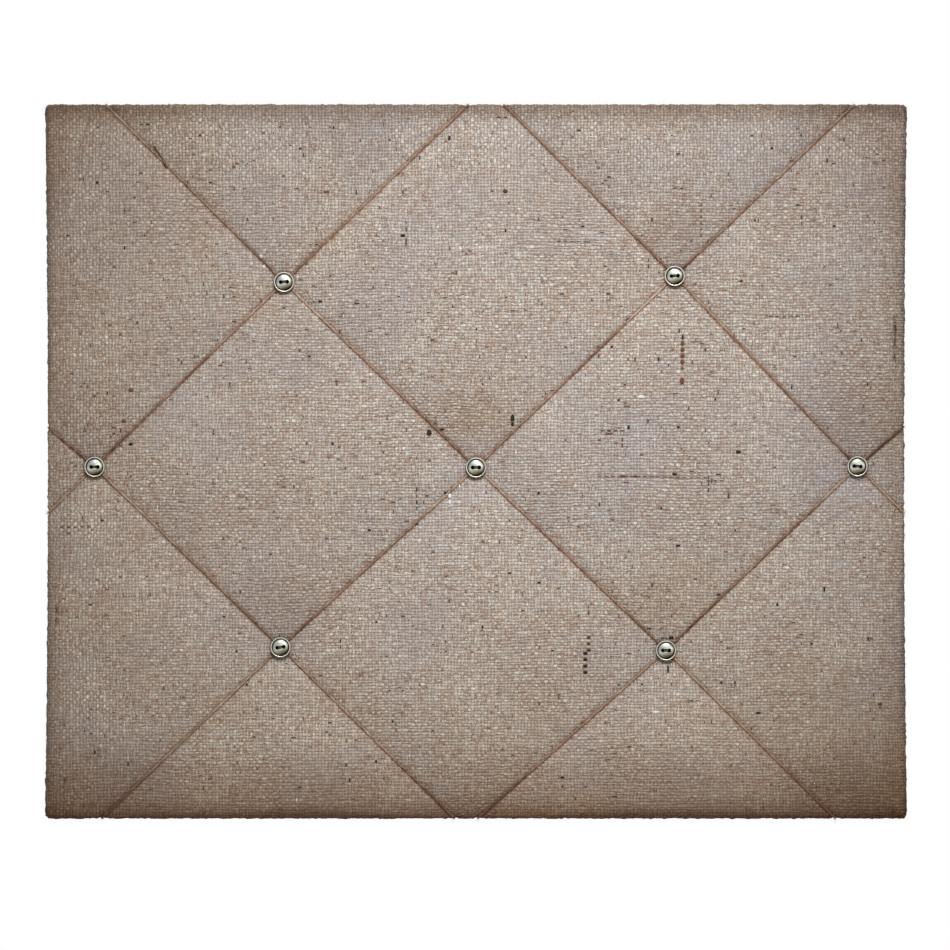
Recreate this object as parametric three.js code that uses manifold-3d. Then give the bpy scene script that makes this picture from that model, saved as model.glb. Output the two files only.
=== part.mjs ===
// A padded memo board: hessian over wadding over a fibreboard panel,
// with a lattice of string held down by buttons.
// Millimetres, +Z up, +X to the right seen from the front, +Y towards the wall.
// The origin is the middle of the backing card's rear face, which lies against the wall.
import * as THREE from "three";
import { mergeVertices } from "three/addons/utils/BufferGeometryUtils.js";
import Module from "manifold-3d";

const wasm = await Module();
wasm.setup();

// The finished board
const BOARD_WIDTH = 600;
const BOARD_HEIGHT = 497;
const CORNER_RADIUS = 4;
const SIDE_PULL = 2; // the cords draw the two side edges in by this much at mid height
const CORE_THICKNESS = 9;
const CARD_THICKNESS = 2;
const SEAT = 0.3; // clearance between two pieces that touch

// Wadding and hessian
const CLOTH = 1;
const PAD_CROWN = 13; // wadding in the middle of a diamond
const PAD_PIT = 2.6; // wadding left under a button
const PAD_SIDE = 3; // wadding round the edges of the panel
const PAD_BACK_STOP = 2; // the wadding ends this far short of the panel's back
const FRONT_ROLL = 9;
const BACK_ROLL = 1.2;
const GROOVE_DEPTH = 2.2; // the narrow crease that a cord presses
const GROOVE_HALF_WIDTH = 5;
const SHOULDER = 20; // where the padding has turned from the crease into the crown
const SAG_REACH = 32;
const HEM_UNDER_CARD = 10;

// Lattice of cords
const SIDE_BUTTON_INSET = 34.4; // outer buttons from the side edges
const CROSSING_OVERSHOOT = 8; // the outer cords would meet this far past the top and bottom edges
const LATTICE_DROP = 3.8; // the middle row of buttons sits this far below the middle
const CORD_DIAMETER = 1.6;
const CORD_SIDES = 8;
const CORD_TAIL = 16; // length left on the back
const HAND_DRIFT = [
  // falling cord, rising cord, and how far their crossing lies right of and above its true place
  [0, -1, -0.9, 0.5],
  [1, 0, 5.6, 4.7],
  [0, 0, 0, -0.4],
  [1, 1, 0, 0.4],
  [-1, 0, -3.3, 2.7],
  [0, 1, -0.5, 0.5],
  [1, -1, 7.2, 8.1],
  [-1, 1, -7.2, 4.1],
  [0, -2, 3.5, 0],
  [0, 2, -3.5, 0],
  [2, 0, 2.3, 0],
  [-2, 0, -7.4, 0],
  [-1, -2, 0, -15.5],
  [-2, -1, 0, -2.2],
  [2, 1, 0, -14.6],
  [1, 2, 0, -4.6],
];

// Staples on the cord tails
const STAPLE_CROWN = 10;
const STAPLE_WIRE = 0.7;
const STAPLE_TIP_COVER = 3; // panel left in front of a staple's points

// Buttons and their stitches
const BUTTON_DIAMETER = 14.1;
const BUTTON_EDGE = 0.4; // bevel of the rim
const RIM_WIDTH = 1;
const RIM_HEIGHT = 2.2;
const RIM_GROOVE = 0.8;
const RIM_GROOVE_FLOOR = 1.2;
const DOME_HEIGHT = 2.7;
const RECESS_WIDTH = 1.6;
const RECESS_DEPTH = 0.9;
const NEEDLE_HOLE = 1.9;
const BUTTON_FACETS = 20;
const THREAD_DIAMETER = 0.7;
const THREAD_KNOT = 1;

// Hangers
const HANGER_DROP = 90; // ring bars below the top edge
const HANGER_MARGIN = 6; // strap end from the side edge
const STRAP_SHEET = 0.8;
const STRAP_LENGTH = 22;
const STRAP_SCREW_AT = 13; // screw from the ring bar
const RING_WIRE = 2.4;
const RING_INNER_WIDTH = 16;
const RING_INNER_DEPTH = 12;
const RING_CORNER = 2.4; // bend of the wire's middle line
const RING_SIDE_PLAY = 1.2;
const RING_BUTT_GAP = 0.5;
const RING_TO_CARD = 4;
const SCREW_SHANK = 3;
const SCREW_HEAD = 6;
const SCREW_HEAD_HEIGHT = 1.7;
const SCREW_TIP_COVER = 2;

// Layers, from the wall to the front
const cardFront = -CARD_THICKNESS;
const hemBack = cardFront - SEAT;
const hemFront = hemBack - CLOTH;
const coreBack = hemFront - SEAT;
const coreFront = coreBack - CORE_THICKNESS;
const padFloor = coreFront - SEAT;
const padCrown = padFloor - PAD_CROWN;
const coverCrown = padCrown - SEAT - CLOTH;

// Sizes that follow from the ones above
const pitchX = (BOARD_WIDTH / 2 - SIDE_BUTTON_INSET) / 2;
const pitchZ = (BOARD_HEIGHT / 2 + CROSSING_OVERSHOOT) / 2;
const cordSpacing = (2 * pitchX * pitchZ) / Math.hypot(pitchX, pitchZ);
const cordRadius = CORD_DIAMETER / 2;
const channelSink = (PAD_CROWN - PAD_PIT) / Math.SQRT2;
const sagDepth = channelSink - GROOVE_DEPTH;
const holeSpacing = (CORD_DIAMETER + THREAD_DIAMETER + 2 * SEAT) / Math.sin(Math.atan2(pitchZ, pitchX));
const coreInset = CLOTH + SEAT + PAD_SIDE + SEAT;
const loopBore = RING_WIRE / 2 + SEAT;
const loopRadius = loopBore + STRAP_SHEET;
const hangerInset = STRAP_LENGTH + HANGER_MARGIN;
const ringReach = RING_INNER_DEPTH + 1.5 * RING_WIRE;
const cardInset = hangerInset + ringReach + RING_TO_CARD;
const hemWidth = cardInset + HEM_UNDER_CARD;

const materials = {
  hessian: { color: 0xaa9b90, roughness: 1, metalness: 0 },
  wadding: { color: 0xf1eee8, roughness: 1, metalness: 0 },
  fibreboard: { color: 0xa9835b, roughness: 0.8, metalness: 0 },
  card: { color: 0xb58f63, roughness: 0.9, metalness: 0 },
  string: { color: 0x7a563f, roughness: 1, metalness: 0 },
  button_metal: { color: 0xc4bfa8, roughness: 0.3, metalness: 1 },
  thread: { color: 0x8f8577, roughness: 0.9, metalness: 0 },
  hanger_plating: { color: 0xc9b37a, roughness: 0.3, metalness: 1 },
  steel: { color: 0xb9bbbd, roughness: 0.35, metalness: 1 },
};

const board = new THREE.Group();
board.name = "memo_board";

// A closed geometry as a solid for cutting and joining.
function solid(geometry) {
  const bare = geometry.clone();
  bare.deleteAttribute("normal");
  bare.deleteAttribute("uv");
  const merged = mergeVertices(bare, 1e-4);
  const corners = merged.index.array;
  const faces = [];
  for (let i = 0; i < corners.length; i += 3) {
    const [p, q, r] = [corners[i], corners[i + 1], corners[i + 2]];
    if (p !== q && q !== r && r !== p) {
      faces.push(p, q, r);
    }
  }
  return new wasm.Manifold(
    new wasm.Mesh({
      numProp: 3,
      vertProperties: merged.attributes.position.array,
      triVerts: new Uint32Array(faces),
    }),
  );
}

// A solid back as a geometry.
function shell(body) {
  const mesh = body.getMesh();
  const geometry = new THREE.BufferGeometry();
  geometry.setAttribute("position", new THREE.BufferAttribute(mesh.vertProperties, 3));
  geometry.setIndex(new THREE.BufferAttribute(mesh.triVerts, 1));
  const faceted = geometry.toNonIndexed();
  faceted.computeVertexNormals();
  return faceted;
}

function addPiece(name, material, geometry, parent = board) {
  const finish = new THREE.MeshStandardMaterial({ name: material, ...materials[material] });
  const mesh = new THREE.Mesh(geometry, finish);
  mesh.name = name;
  parent.add(mesh);
  return mesh;
}

// A box between two corners.
function block(x0, y0, z0, x1, y1, z1) {
  const box = new THREE.BoxGeometry(x1 - x0, y1 - y0, z1 - z0);
  return box.translate((x0 + x1) / 2, (y0 + y1) / 2, (z0 + z1) / 2);
}

// A rod along Y between two depths.
function rod(radius, x, z, y0, y1, facets) {
  const cylinder = new THREE.CylinderGeometry(radius, radius, y1 - y0, facets);
  return cylinder.translate(x, (y0 + y1) / 2, z);
}

// Cuts a list of geometries out of a solid.
function cut(body, tools) {
  return tools.reduce((left, tool) => left.subtract(solid(tool)), body);
}

// Half the board's width at a height, where the cords draw the sides in.
function sideHalf(z) {
  const along = Math.min(1, Math.abs((2 * z) / BOARD_HEIGHT));
  return BOARD_WIDTH / 2 - SIDE_PULL * (1 - along * along);
}

// The board's outline moved inwards: rounded corners and two drawn-in sides.
function outline(inset) {
  const radius = Math.max(CORNER_RADIUS - inset, 1);
  const x = BOARD_WIDTH / 2 - inset - radius;
  const z = BOARD_HEIGHT / 2 - inset - radius;
  const centres = [[x, z], [-x, z], [-x, -z], [x, -z]];
  const points = [];
  centres.forEach(([cx, cz], corner) => {
    for (let step = 0; step <= 2; step++) {
      const angle = ((corner + step / 2) * Math.PI) / 2;
      points.push(new THREE.Vector2(cx + radius * Math.cos(angle), cz + radius * Math.sin(angle)));
    }
    if (corner % 2 === 1) {
      const side = Math.sign(cx);
      for (const share of [0.25, 0, -0.25]) {
        const height = -side * share * BOARD_HEIGHT;
        points.push(new THREE.Vector2(side * (sideHalf(height) - inset), height));
      }
    }
  });
  return points;
}

// A soft-edged slab lofted through outlines; each level is a depth and an inset, front first.
function softSlab(levels) {
  const rings = levels.map(([y, inset]) => outline(inset).map((p) => new THREE.Vector3(p.x, y, p.y)));
  const count = rings[0].length;
  const vertices = rings.flat();
  const faces = [];
  for (let level = 0; level + 1 < rings.length; level++) {
    for (let i = 0; i < count; i++) {
      const near = level * count + i;
      const next = level * count + ((i + 1) % count);
      faces.push(near, next + count, next, near, near + count, next + count);
    }
  }
  const last = (rings.length - 1) * count;
  const frontMiddle = vertices.push(new THREE.Vector3(0, levels[0][0], 0)) - 1;
  const backMiddle = vertices.push(new THREE.Vector3(0, levels[levels.length - 1][0], 0)) - 1;
  for (let i = 0; i < count; i++) {
    const next = (i + 1) % count;
    faces.push(frontMiddle, i, next, backMiddle, last + next, last + i);
  }
  return new THREE.BufferGeometry().setFromPoints(vertices).setIndex(faces);
}

// Levels of a slab whose front edge rolls over in a number of steps.
function rolledLevels(front, inset, steps) {
  const roll = FRONT_ROLL - inset;
  return Array.from({ length: steps + 1 }, (_, step) => {
    const angle = (step / steps) * (Math.PI / 2);
    return [front + roll * (1 - Math.cos(angle)), inset + roll * (1 - Math.sin(angle))];
  });
}

// Lattice: falling cords run down to the right, rising cords up to the right.
// A place is given by the falling and the rising cord through it, -1, 0 and 1 being the real ones.
const drift = new Map(
  HAND_DRIFT.map(([falling, rising, right, up]) => [falling + " " + rising, [right, up]]),
);

function crossing(falling, rising) {
  for (const [f, r] of [[Math.sign(falling), 0], [0, Math.sign(rising)]]) {
    if (Math.abs(f * falling + r * rising) > 2) {
      const inner = crossing(falling - f, rising - r);
      return inner.multiplyScalar(2).sub(crossing(falling - 2 * f, rising - 2 * r));
    }
  }
  const [right, up] = drift.get(falling + " " + rising) ?? [0, 0];
  return new THREE.Vector2(
    (falling + rising) * pitchX + right,
    (falling - rising) * pitchZ - LATTICE_DROP + up,
  );
}

function latticePoint(falling, rising) {
  const f = Math.floor(falling);
  const r = Math.floor(rising);
  const lower = crossing(f, r).lerp(crossing(f, r + 1), rising - r);
  const upper = crossing(f + 1, r).lerp(crossing(f + 1, r + 1), rising - r);
  return lower.lerp(upper, falling - f);
}

// Padding depth: a narrow crease and a wide sag beside each cord, deepest where two cross.
function sink(away) {
  const crease = GROOVE_DEPTH * Math.max(0, 1 - away / GROOVE_HALF_WIDTH);
  return crease + sagDepth * Math.exp(-away / SAG_REACH);
}

function awayFromCord(place) {
  const nearest = Math.max(-1, Math.min(1, Math.round(place)));
  return Math.abs(place - nearest) * cordSpacing;
}

function sinkAt(falling, rising) {
  return Math.hypot(sink(awayFromCord(falling)), sink(awayFromCord(rising)));
}

// Lines of the quilting across the lattice: the crowns, each cord, and given distances beside it.
function stationsBeside(...distances) {
  const places = [-2.6, -1, -0.5, 0, 0.5, 1, 2.6];
  for (const cord of [-1, 0, 1]) {
    for (const away of distances) {
      places.push(cord - away / cordSpacing, cord + away / cordSpacing);
    }
  }
  return places.sort((one, other) => one - other);
}

const fineStations = stationsBeside(GROOVE_HALF_WIDTH, SHOULDER);
const plainStations = stationsBeside(GROOVE_HALF_WIDTH);

// A block whose front face is the quilted padding.
function quiltedBlock(crown, back, stations) {
  const count = stations.length;
  const vertices = [];
  const faces = [];
  for (const falling of stations) {
    for (const rising of stations) {
      const place = latticePoint(falling, rising);
      vertices.push(new THREE.Vector3(place.x, crown + sinkAt(falling, rising), place.y));
    }
  }
  for (let i = 0; i + 1 < count; i++) {
    for (let j = 0; j + 1 < count; j++) {
      const here = i * count + j;
      const over = here + count;
      faces.push(here, here + 1, over + 1, here, over + 1, over);
    }
  }
  const rim = [];
  for (let k = 0; k + 1 < count; k++) {
    rim.push(k * count);
  }
  for (let k = 0; k + 1 < count; k++) {
    rim.push((count - 1) * count + k);
  }
  for (let k = count - 1; k > 0; k--) {
    rim.push(k * count + count - 1);
  }
  for (let k = count - 1; k > 0; k--) {
    rim.push(k);
  }
  const below = rim.map((index) => vertices.push(vertices[index].clone().setY(back)) - 1);
  const middle = vertices.push(new THREE.Vector3(0, back, 0)) - 1;
  rim.forEach((front, k) => {
    const next = (k + 1) % rim.length;
    faces.push(front, rim[next], below[next], front, below[next], below[k]);
    faces.push(middle, below[k], below[next]);
  });
  return new THREE.BufferGeometry().setFromPoints(vertices).setIndex(faces);
}

// A padded slab: rolled edges outside, quilting in front.
function quiltedSlab(levels, stations) {
  const slab = solid(softSlab(levels));
  const [crown] = levels[0];
  return slab.intersect(solid(quiltedBlock(crown, PAD_CROWN, stations)));
}

// A path through given points, with its sections on those points.
class LaidPath extends THREE.Curve {
  constructor(points) {
    super();
    this.points = points;
  }

  getUtoTmapping(u) {
    return u;
  }

  getPoint(t) {
    const at = t * (this.points.length - 1);
    const from = Math.min(Math.floor(at), this.points.length - 2);
    return this.points[from].clone().lerp(this.points[from + 1], at - from);
  }

  getTangent(t) {
    const last = this.points.length - 1;
    const here = Math.round(t * last);
    const before = this.points[Math.max(here - 1, 0)];
    const after = this.points[Math.min(here + 1, last)];
    const arriving = this.points[here].clone().sub(before).normalize();
    const leaving = after.clone().sub(this.points[here]).normalize();
    return arriving.add(leaving).normalize();
  }
}

function tube(points, radius, sides) {
  const corners = Array.from({ length: sides }, (_, i) => {
    const angle = (2 * Math.PI * i) / sides;
    return new THREE.Vector2(radius * Math.cos(angle), radius * Math.sin(angle));
  });
  const extrudePath = new LaidPath(points);
  return new THREE.ExtrudeGeometry(new THREE.Shape(corners), { steps: points.length - 1, extrudePath });
}

// Where the buttons are.
const buttons = [
  { name: "upper_left", falling: 0, rising: -1 },
  { name: "upper_right", falling: 1, rising: 0 },
  { name: "middle_left", falling: -1, rising: -1 },
  { name: "centre", falling: 0, rising: 0 },
  { name: "middle_right", falling: 1, rising: 1 },
  { name: "lower_left", falling: -1, rising: 0 },
  { name: "lower_right", falling: 0, rising: 1 },
];
const cordLift = cordRadius + 1.5 * SEAT;
const crossingLift = cordLift + CORD_DIAMETER + SEAT;
const buttonBack = coverCrown + sinkAt(0, 0) - crossingLift - cordRadius - SEAT;

// One end of a cord, from the front round an edge to its tail on the back.
function edgeTurn(inside, outside) {
  const plan = (point) => new THREE.Vector2(point.x, point.z);
  const step = plan(outside).sub(plan(inside));
  const sideways = Math.abs(outside.x) - sideHalf(outside.z) > Math.abs(outside.z) - BOARD_HEIGHT / 2;
  const normal = sideways
    ? new THREE.Vector2(Math.sign(outside.x), 0)
    : new THREE.Vector2(0, Math.sign(outside.z));
  const along = new THREE.Vector2(Math.abs(normal.y), Math.abs(normal.x));
  const insideEdge = sideways ? sideHalf(inside.z) : BOARD_HEIGHT / 2;
  const share = (insideEdge - plan(inside).dot(normal)) / step.dot(normal);
  const meet = plan(inside).addScaledVector(step, share);
  const edge = sideways ? sideHalf(meet.y) : BOARD_HEIGHT / 2;
  const level = inside.y + (outside.y - inside.y) * share;

  const points = [];
  const visit = (out, y) => {
    const place = along.clone().multiplyScalar(meet.dot(along)).addScaledVector(normal, edge + out);
    points.push(new THREE.Vector3(place.x, y, place.y));
  };
  const frontTurn = FRONT_ROLL + cordLift;
  const frontMiddle = coverCrown + FRONT_ROLL;
  const firstAngle = Math.asin((frontMiddle - level) / frontTurn);
  for (let step = 3; step >= 0; step--) {
    const angle = (firstAngle * step) / 3;
    visit(frontTurn * Math.cos(angle) - FRONT_ROLL, frontMiddle - frontTurn * Math.sin(angle));
  }
  const backTurn = BACK_ROLL + cordLift;
  for (let step = 0; step <= 3; step++) {
    const angle = (step / 3) * (Math.PI / 2);
    visit(backTurn * Math.cos(angle) - BACK_ROLL, hemBack - BACK_ROLL + backTurn * Math.sin(angle));
  }
  visit(-BACK_ROLL - CORD_TAIL / 2, hemBack + cordLift);
  const held = points[points.length - 1].clone();
  visit(-BACK_ROLL - CORD_TAIL, hemBack + cordLift);
  return { points, held, along };
}

function onBoard(point) {
  return Math.abs(point.x) < sideHalf(point.z) - 1 && Math.abs(point.z) < BOARD_HEIGHT / 2 - 1;
}

// The whole route of a cord, from tail to tail.
function layCord(cord, isRising) {
  const run = fineStations.map((place) => {
    const [falling, rising] = isRising ? [place, cord] : [cord, place];
    const plan = latticePoint(falling, rising);
    const crosses = Math.abs(place) <= 1 && Number.isInteger(place);
    const lift = isRising && crosses ? crossingLift : cordLift;
    return new THREE.Vector3(plan.x, coverCrown + sinkAt(falling, rising) - lift, plan.y);
  });
  const first = run.findIndex(onBoard);
  const last = run.findLastIndex(onBoard);
  const start = edgeTurn(run[first], run[first - 1]);
  const end = edgeTurn(run[last], run[last + 1]);
  const points = [...start.points.reverse(), ...run.slice(first, last + 1), ...end.points];
  return { points, ends: [start, end] };
}

const cords = [
  { name: "falling_cord_upper", cord: 1, isRising: false },
  { name: "falling_cord_middle", cord: 0, isRising: false },
  { name: "falling_cord_lower", cord: -1, isRising: false },
  { name: "rising_cord_upper", cord: -1, isRising: true },
  { name: "rising_cord_middle", cord: 0, isRising: true },
  { name: "rising_cord_lower", cord: 1, isRising: true },
].map((entry) => ({ ...entry, ...layCord(entry.cord, entry.isRising) }));

// Tools that pierce the layers: needle holes, staple legs and screws.
const needleHoles = buttons.flatMap(({ falling, rising }) => {
  const place = latticePoint(falling, rising);
  return [-1, 1].map((side) =>
    rod(THREAD_DIAMETER + 2 * SEAT, place.x + (side * holeSpacing) / 2, place.y, coverCrown, 0, 3),
  );
});

const stapleTip = coreFront + STAPLE_TIP_COVER;
const stapleCrown = hemBack + 2 * cordLift + SEAT;

const stapleHoles = cords.flatMap(({ ends }) =>
  ends.flatMap(({ held, along }) =>
    [-1, 1].map((side) => {
      const x = held.x + (along.x * side * (STAPLE_CROWN - STAPLE_WIRE)) / 2;
      const z = held.z + (along.y * side * (STAPLE_CROWN - STAPLE_WIRE)) / 2;
      const half = STAPLE_WIRE / 2 + SEAT;
      return block(x - half, stapleTip - SEAT, z - half, x + half, 0, z + half);
    }),
  ),
);

const hangerX = BOARD_WIDTH / 2 - hangerInset;
const hangerZ = BOARD_HEIGHT / 2 - HANGER_DROP;
const hangers = [
  { name: "left", side: -1, x: -hangerX, z: hangerZ },
  { name: "right", side: 1, x: hangerX, z: hangerZ },
];
const screwTip = coreFront + SCREW_TIP_COVER;
const screwHoles = hangers.map(({ side, x, z }) =>
  rod(SCREW_SHANK / 2 + SEAT, x + side * STRAP_SCREW_AT, z, screwTip - SEAT, 0, 8),
);

// Fibreboard panel
const coreX = BOARD_WIDTH / 2 - coreInset;
const coreZ = BOARD_HEIGHT / 2 - coreInset;
const panel = solid(block(-coreX, coreFront, -coreZ, coreX, coreBack, coreZ));
addPiece("core_board", "fibreboard", shell(cut(panel, [...needleHoles, ...stapleHoles, ...screwHoles])));

// Wadding over the front and round the edges of the panel
const panelSpace = block(-coreX - SEAT, padFloor, -coreZ - SEAT, coreX + SEAT, 0, coreZ + SEAT);
const padInset = CLOTH + SEAT;
const padLevels = [...rolledLevels(padCrown, padInset, 2), [coreBack - PAD_BACK_STOP, padInset]];
const wadding = quiltedSlab(padLevels, plainStations);
addPiece("wadding_pad", "wadding", shell(cut(wadding, [panelSpace, ...needleHoles])));

// Hessian over the wadding, turned on to the back of the panel
const outerLevels = [...rolledLevels(coverCrown, 0, 3), [hemBack - BACK_ROLL, 0], [hemBack, BACK_ROLL]];
const innerLevels = [...rolledLevels(coverCrown + CLOTH, CLOTH, 2), [hemFront, CLOTH]];
const clothOutside = quiltedSlab(outerLevels, fineStations);
const clothInside = quiltedSlab(innerLevels, plainStations);
const hemX = BOARD_WIDTH / 2 - hemWidth;
const hemZ = BOARD_HEIGHT / 2 - hemWidth;
const hemWindow = block(-hemX, hemFront - CLOTH, -hemZ, hemX, 0, hemZ);
const cloth = clothOutside.subtract(clothInside);
const clothHoles = [hemWindow, ...needleHoles, ...stapleHoles, ...screwHoles];
addPiece("hessian_cover", "hessian", shell(cut(cloth, clothHoles)));

// Card over the raw edges of the hessian
const cardX = BOARD_WIDTH / 2 - cardInset;
const cardZ = BOARD_HEIGHT / 2 - cardInset;
addPiece("backing_card", "card", block(-cardX, cardFront, -cardZ, cardX, 0, cardZ));

// A staple: a flat crown over the cord and two legs through the hem into the panel
const stapleShape = new THREE.Shape();
stapleShape.moveTo(-STAPLE_CROWN / 2, stapleTip);
stapleShape.lineTo(-STAPLE_CROWN / 2 + STAPLE_WIRE, stapleTip);
stapleShape.lineTo(-STAPLE_CROWN / 2 + STAPLE_WIRE, stapleCrown);
stapleShape.lineTo(STAPLE_CROWN / 2 - STAPLE_WIRE, stapleCrown);
stapleShape.lineTo(STAPLE_CROWN / 2 - STAPLE_WIRE, stapleTip);
stapleShape.lineTo(STAPLE_CROWN / 2, stapleTip);
stapleShape.lineTo(STAPLE_CROWN / 2, stapleCrown + STAPLE_WIRE);
stapleShape.lineTo(-STAPLE_CROWN / 2, stapleCrown + STAPLE_WIRE);
const stapleBent = new THREE.ExtrudeGeometry(stapleShape, { depth: STAPLE_WIRE, bevelEnabled: false });
stapleBent.translate(0, 0, -STAPLE_WIRE / 2);

// Cords and the staples on their tails
for (const { name, points, ends } of cords) {
  addPiece(name, "string", tube(points, cordRadius, CORD_SIDES));
  const stapleName = name.replace("_cord", "");
  ends.forEach((end, index) => {
    const where = index ? "end" : "start";
    const staple = addPiece(`staple_${stapleName}_${where}`, "steel", stapleBent);
    staple.position.copy(end.held).setY(0);
    staple.rotation.y = end.along.x ? 0 : Math.PI / 2;
  });
}

// Buttons: a rim, a groove inside it, and a shallow dome with a recess for the stitch
const rimInside = BUTTON_DIAMETER / 2 - RIM_WIDTH;
const domeRadius = rimInside - RIM_GROOVE;
const buttonProfile = [
  [0, 0],
  [BUTTON_DIAMETER / 2, 0],
  [BUTTON_DIAMETER / 2, RIM_HEIGHT - BUTTON_EDGE],
  [BUTTON_DIAMETER / 2 - BUTTON_EDGE, RIM_HEIGHT],
  [rimInside, RIM_HEIGHT - BUTTON_EDGE / 2],
  [rimInside - RIM_GROOVE / 4, RIM_GROOVE_FLOOR],
  [domeRadius, RIM_GROOVE_FLOOR],
];
for (const share of [0.92, 0.6, 0]) {
  const height = RIM_GROOVE_FLOOR + (DOME_HEIGHT - RIM_GROOVE_FLOOR) * Math.sqrt(1 - share * share);
  buttonProfile.push([domeRadius * share, height]);
}
const blank = new THREE.LatheGeometry(
  buttonProfile.map(([radius, height]) => new THREE.Vector2(radius, height)),
  BUTTON_FACETS,
);
blank.rotateX(Math.PI);
const recessFloor = DOME_HEIGHT - RECESS_DEPTH;
const eyeX = holeSpacing / 2;
const aboveDome = -DOME_HEIGHT - 1;
const recess = block(-eyeX, aboveDome, -RECESS_WIDTH / 2, eyeX, -recessFloor, RECESS_WIDTH / 2);
const eyes = [-eyeX, eyeX].map((x) => rod(NEEDLE_HOLE / 2, x, 0, aboveDome, 1, 8));
const button = cut(solid(blank), [recess, ...eyes]);

// The stitch through a button, the padding and the panel, knotted behind the layer it comes out of
const threadRadius = THREAD_DIAMETER / 2;
const stitchFront = buttonBack - recessFloor - SEAT - threadRadius;

function sewStitch(rearFace) {
  const stitchBack = rearFace + SEAT + THREAD_KNOT / 2;
  const bend = THREAD_DIAMETER;
  const leg = holeSpacing / 2;
  const half = [
    [THREAD_KNOT / 4, stitchBack],
    [leg - bend, stitchBack],
    [leg, stitchBack - bend],
    [leg, stitchFront + bend],
    [leg - bend, stitchFront],
  ];
  const points = [
    ...half.map(([x, y]) => new THREE.Vector3(x, y, 0)),
    ...half.toReversed().map(([x, y]) => new THREE.Vector3(-x, y, 0)),
  ];
  const knot = new THREE.SphereGeometry(THREAD_KNOT / 2, 7, 5).translate(0, stitchBack, 0);
  return solid(tube(points, threadRadius, 6)).add(solid(knot));
}

for (const { name, falling, rising } of buttons) {
  const place = latticePoint(falling, rising);
  const overHem = Math.abs(place.x) + holeSpacing > hemX || Math.abs(place.y) > hemZ;
  const stitch = sewStitch(overHem ? hemBack : coreBack);
  addPiece("button_" + name, "button_metal", shell(button)).position.set(place.x, buttonBack, place.y);
  addPiece("thread_" + name, "thread", shell(stitch)).position.set(place.x, 0, place.y);
}

// Hangers: a strap folded round the bar of a D-ring and screwed through the hem into the panel
const strapWidth = RING_INNER_WIDTH - 2 * RING_SIDE_PLAY;
const strapThickness = 2 * STRAP_SHEET;
const strapSide = new THREE.Shape();
strapSide.moveTo(STRAP_LENGTH, 0);
strapSide.lineTo(0, 0);
strapSide.absarc(0, loopRadius, loopRadius, -Math.PI / 2, Math.PI / 2, true);
const loopTop = 2 * loopRadius;
strapSide.bezierCurveTo(loopRadius, loopTop, loopRadius, strapThickness, loopTop, strapThickness);
strapSide.lineTo(STRAP_LENGTH, strapThickness);
const bore = new THREE.Path();
bore.absarc(0, loopRadius, loopBore, 0, 2 * Math.PI, false);
strapSide.holes.push(bore);
const strapStrip = new THREE.ExtrudeGeometry(strapSide, {
  depth: strapWidth,
  bevelEnabled: false,
  curveSegments: 8,
});
strapStrip.translate(0, 0, -strapWidth / 2);
const strapPlan = new THREE.Shape();
strapPlan.moveTo(-2 * loopRadius, -strapWidth / 2);
strapPlan.lineTo(STRAP_LENGTH - strapWidth / 2, -strapWidth / 2);
strapPlan.absarc(STRAP_LENGTH - strapWidth / 2, 0, strapWidth / 2, -Math.PI / 2, Math.PI / 2, false);
strapPlan.lineTo(-2 * loopRadius, strapWidth / 2);
const planDepth = 4 * loopRadius;
const strapOutline = new THREE.ExtrudeGeometry(strapPlan, {
  depth: planDepth,
  bevelEnabled: false,
  curveSegments: 8,
});
strapOutline.rotateX(Math.PI / 2).translate(0, planDepth - loopRadius, 0);
const strapHole = rod(SCREW_SHANK / 2 + SEAT, STRAP_SCREW_AT, 0, -1, planDepth, 12);
const strap = cut(solid(strapStrip).intersect(solid(strapOutline)), [strapHole]);

// The ring's wire, from its butt joint in the bar round the bow and back
const ringHalf = (RING_INNER_WIDTH + RING_WIRE) / 2;
const ringStraight = RING_INNER_DEPTH + RING_WIRE - ringHalf;
const ringPoints = [new THREE.Vector3(0, loopRadius, RING_BUTT_GAP / 2)];
const bendRing = (cx, cz, radius, from, to, steps) => {
  for (let step = 0; step <= steps; step++) {
    const angle = from + ((to - from) * step) / steps;
    const x = cx + radius * Math.cos(angle);
    const z = cz + radius * Math.sin(angle);
    ringPoints.push(new THREE.Vector3(x, loopRadius, z));
  }
};
bendRing(-RING_CORNER, ringHalf - RING_CORNER, RING_CORNER, 0, Math.PI / 2, 3);
bendRing(-ringStraight, 0, ringHalf, Math.PI / 2, (3 * Math.PI) / 2, 12);
bendRing(-RING_CORNER, RING_CORNER - ringHalf, RING_CORNER, -Math.PI / 2, 0, 3);
ringPoints.push(new THREE.Vector3(0, loopRadius, -RING_BUTT_GAP / 2));
const ring = tube(ringPoints, RING_WIRE / 2, 8);

// A pan-head screw with a cross recess
const screwSeat = strapThickness + SEAT;
const screwLength = hemBack + SEAT + screwSeat - screwTip;
const screwProfile = [
  [0, -screwLength],
  [SCREW_SHANK / 2, SCREW_SHANK - screwLength],
  [SCREW_SHANK / 2, 0],
  [SCREW_HEAD / 2, 0],
  [SCREW_HEAD / 2, SCREW_HEAD_HEIGHT / 3],
  [SCREW_HEAD / 3, SCREW_HEAD_HEIGHT * 0.9],
  [0, SCREW_HEAD_HEIGHT],
].map(([radius, height]) => new THREE.Vector2(radius, height));
const slotHalf = SCREW_HEAD / 3.2;
const slotFloor = SCREW_HEAD_HEIGHT / 2;
const slots = [
  block(-slotHalf, slotFloor, -0.35, slotHalf, SCREW_HEAD_HEIGHT + 1, 0.35),
  block(-0.35, slotFloor, -slotHalf, 0.35, SCREW_HEAD_HEIGHT + 1, slotHalf),
];
const screw = cut(solid(new THREE.LatheGeometry(screwProfile, 16)), slots);

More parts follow.
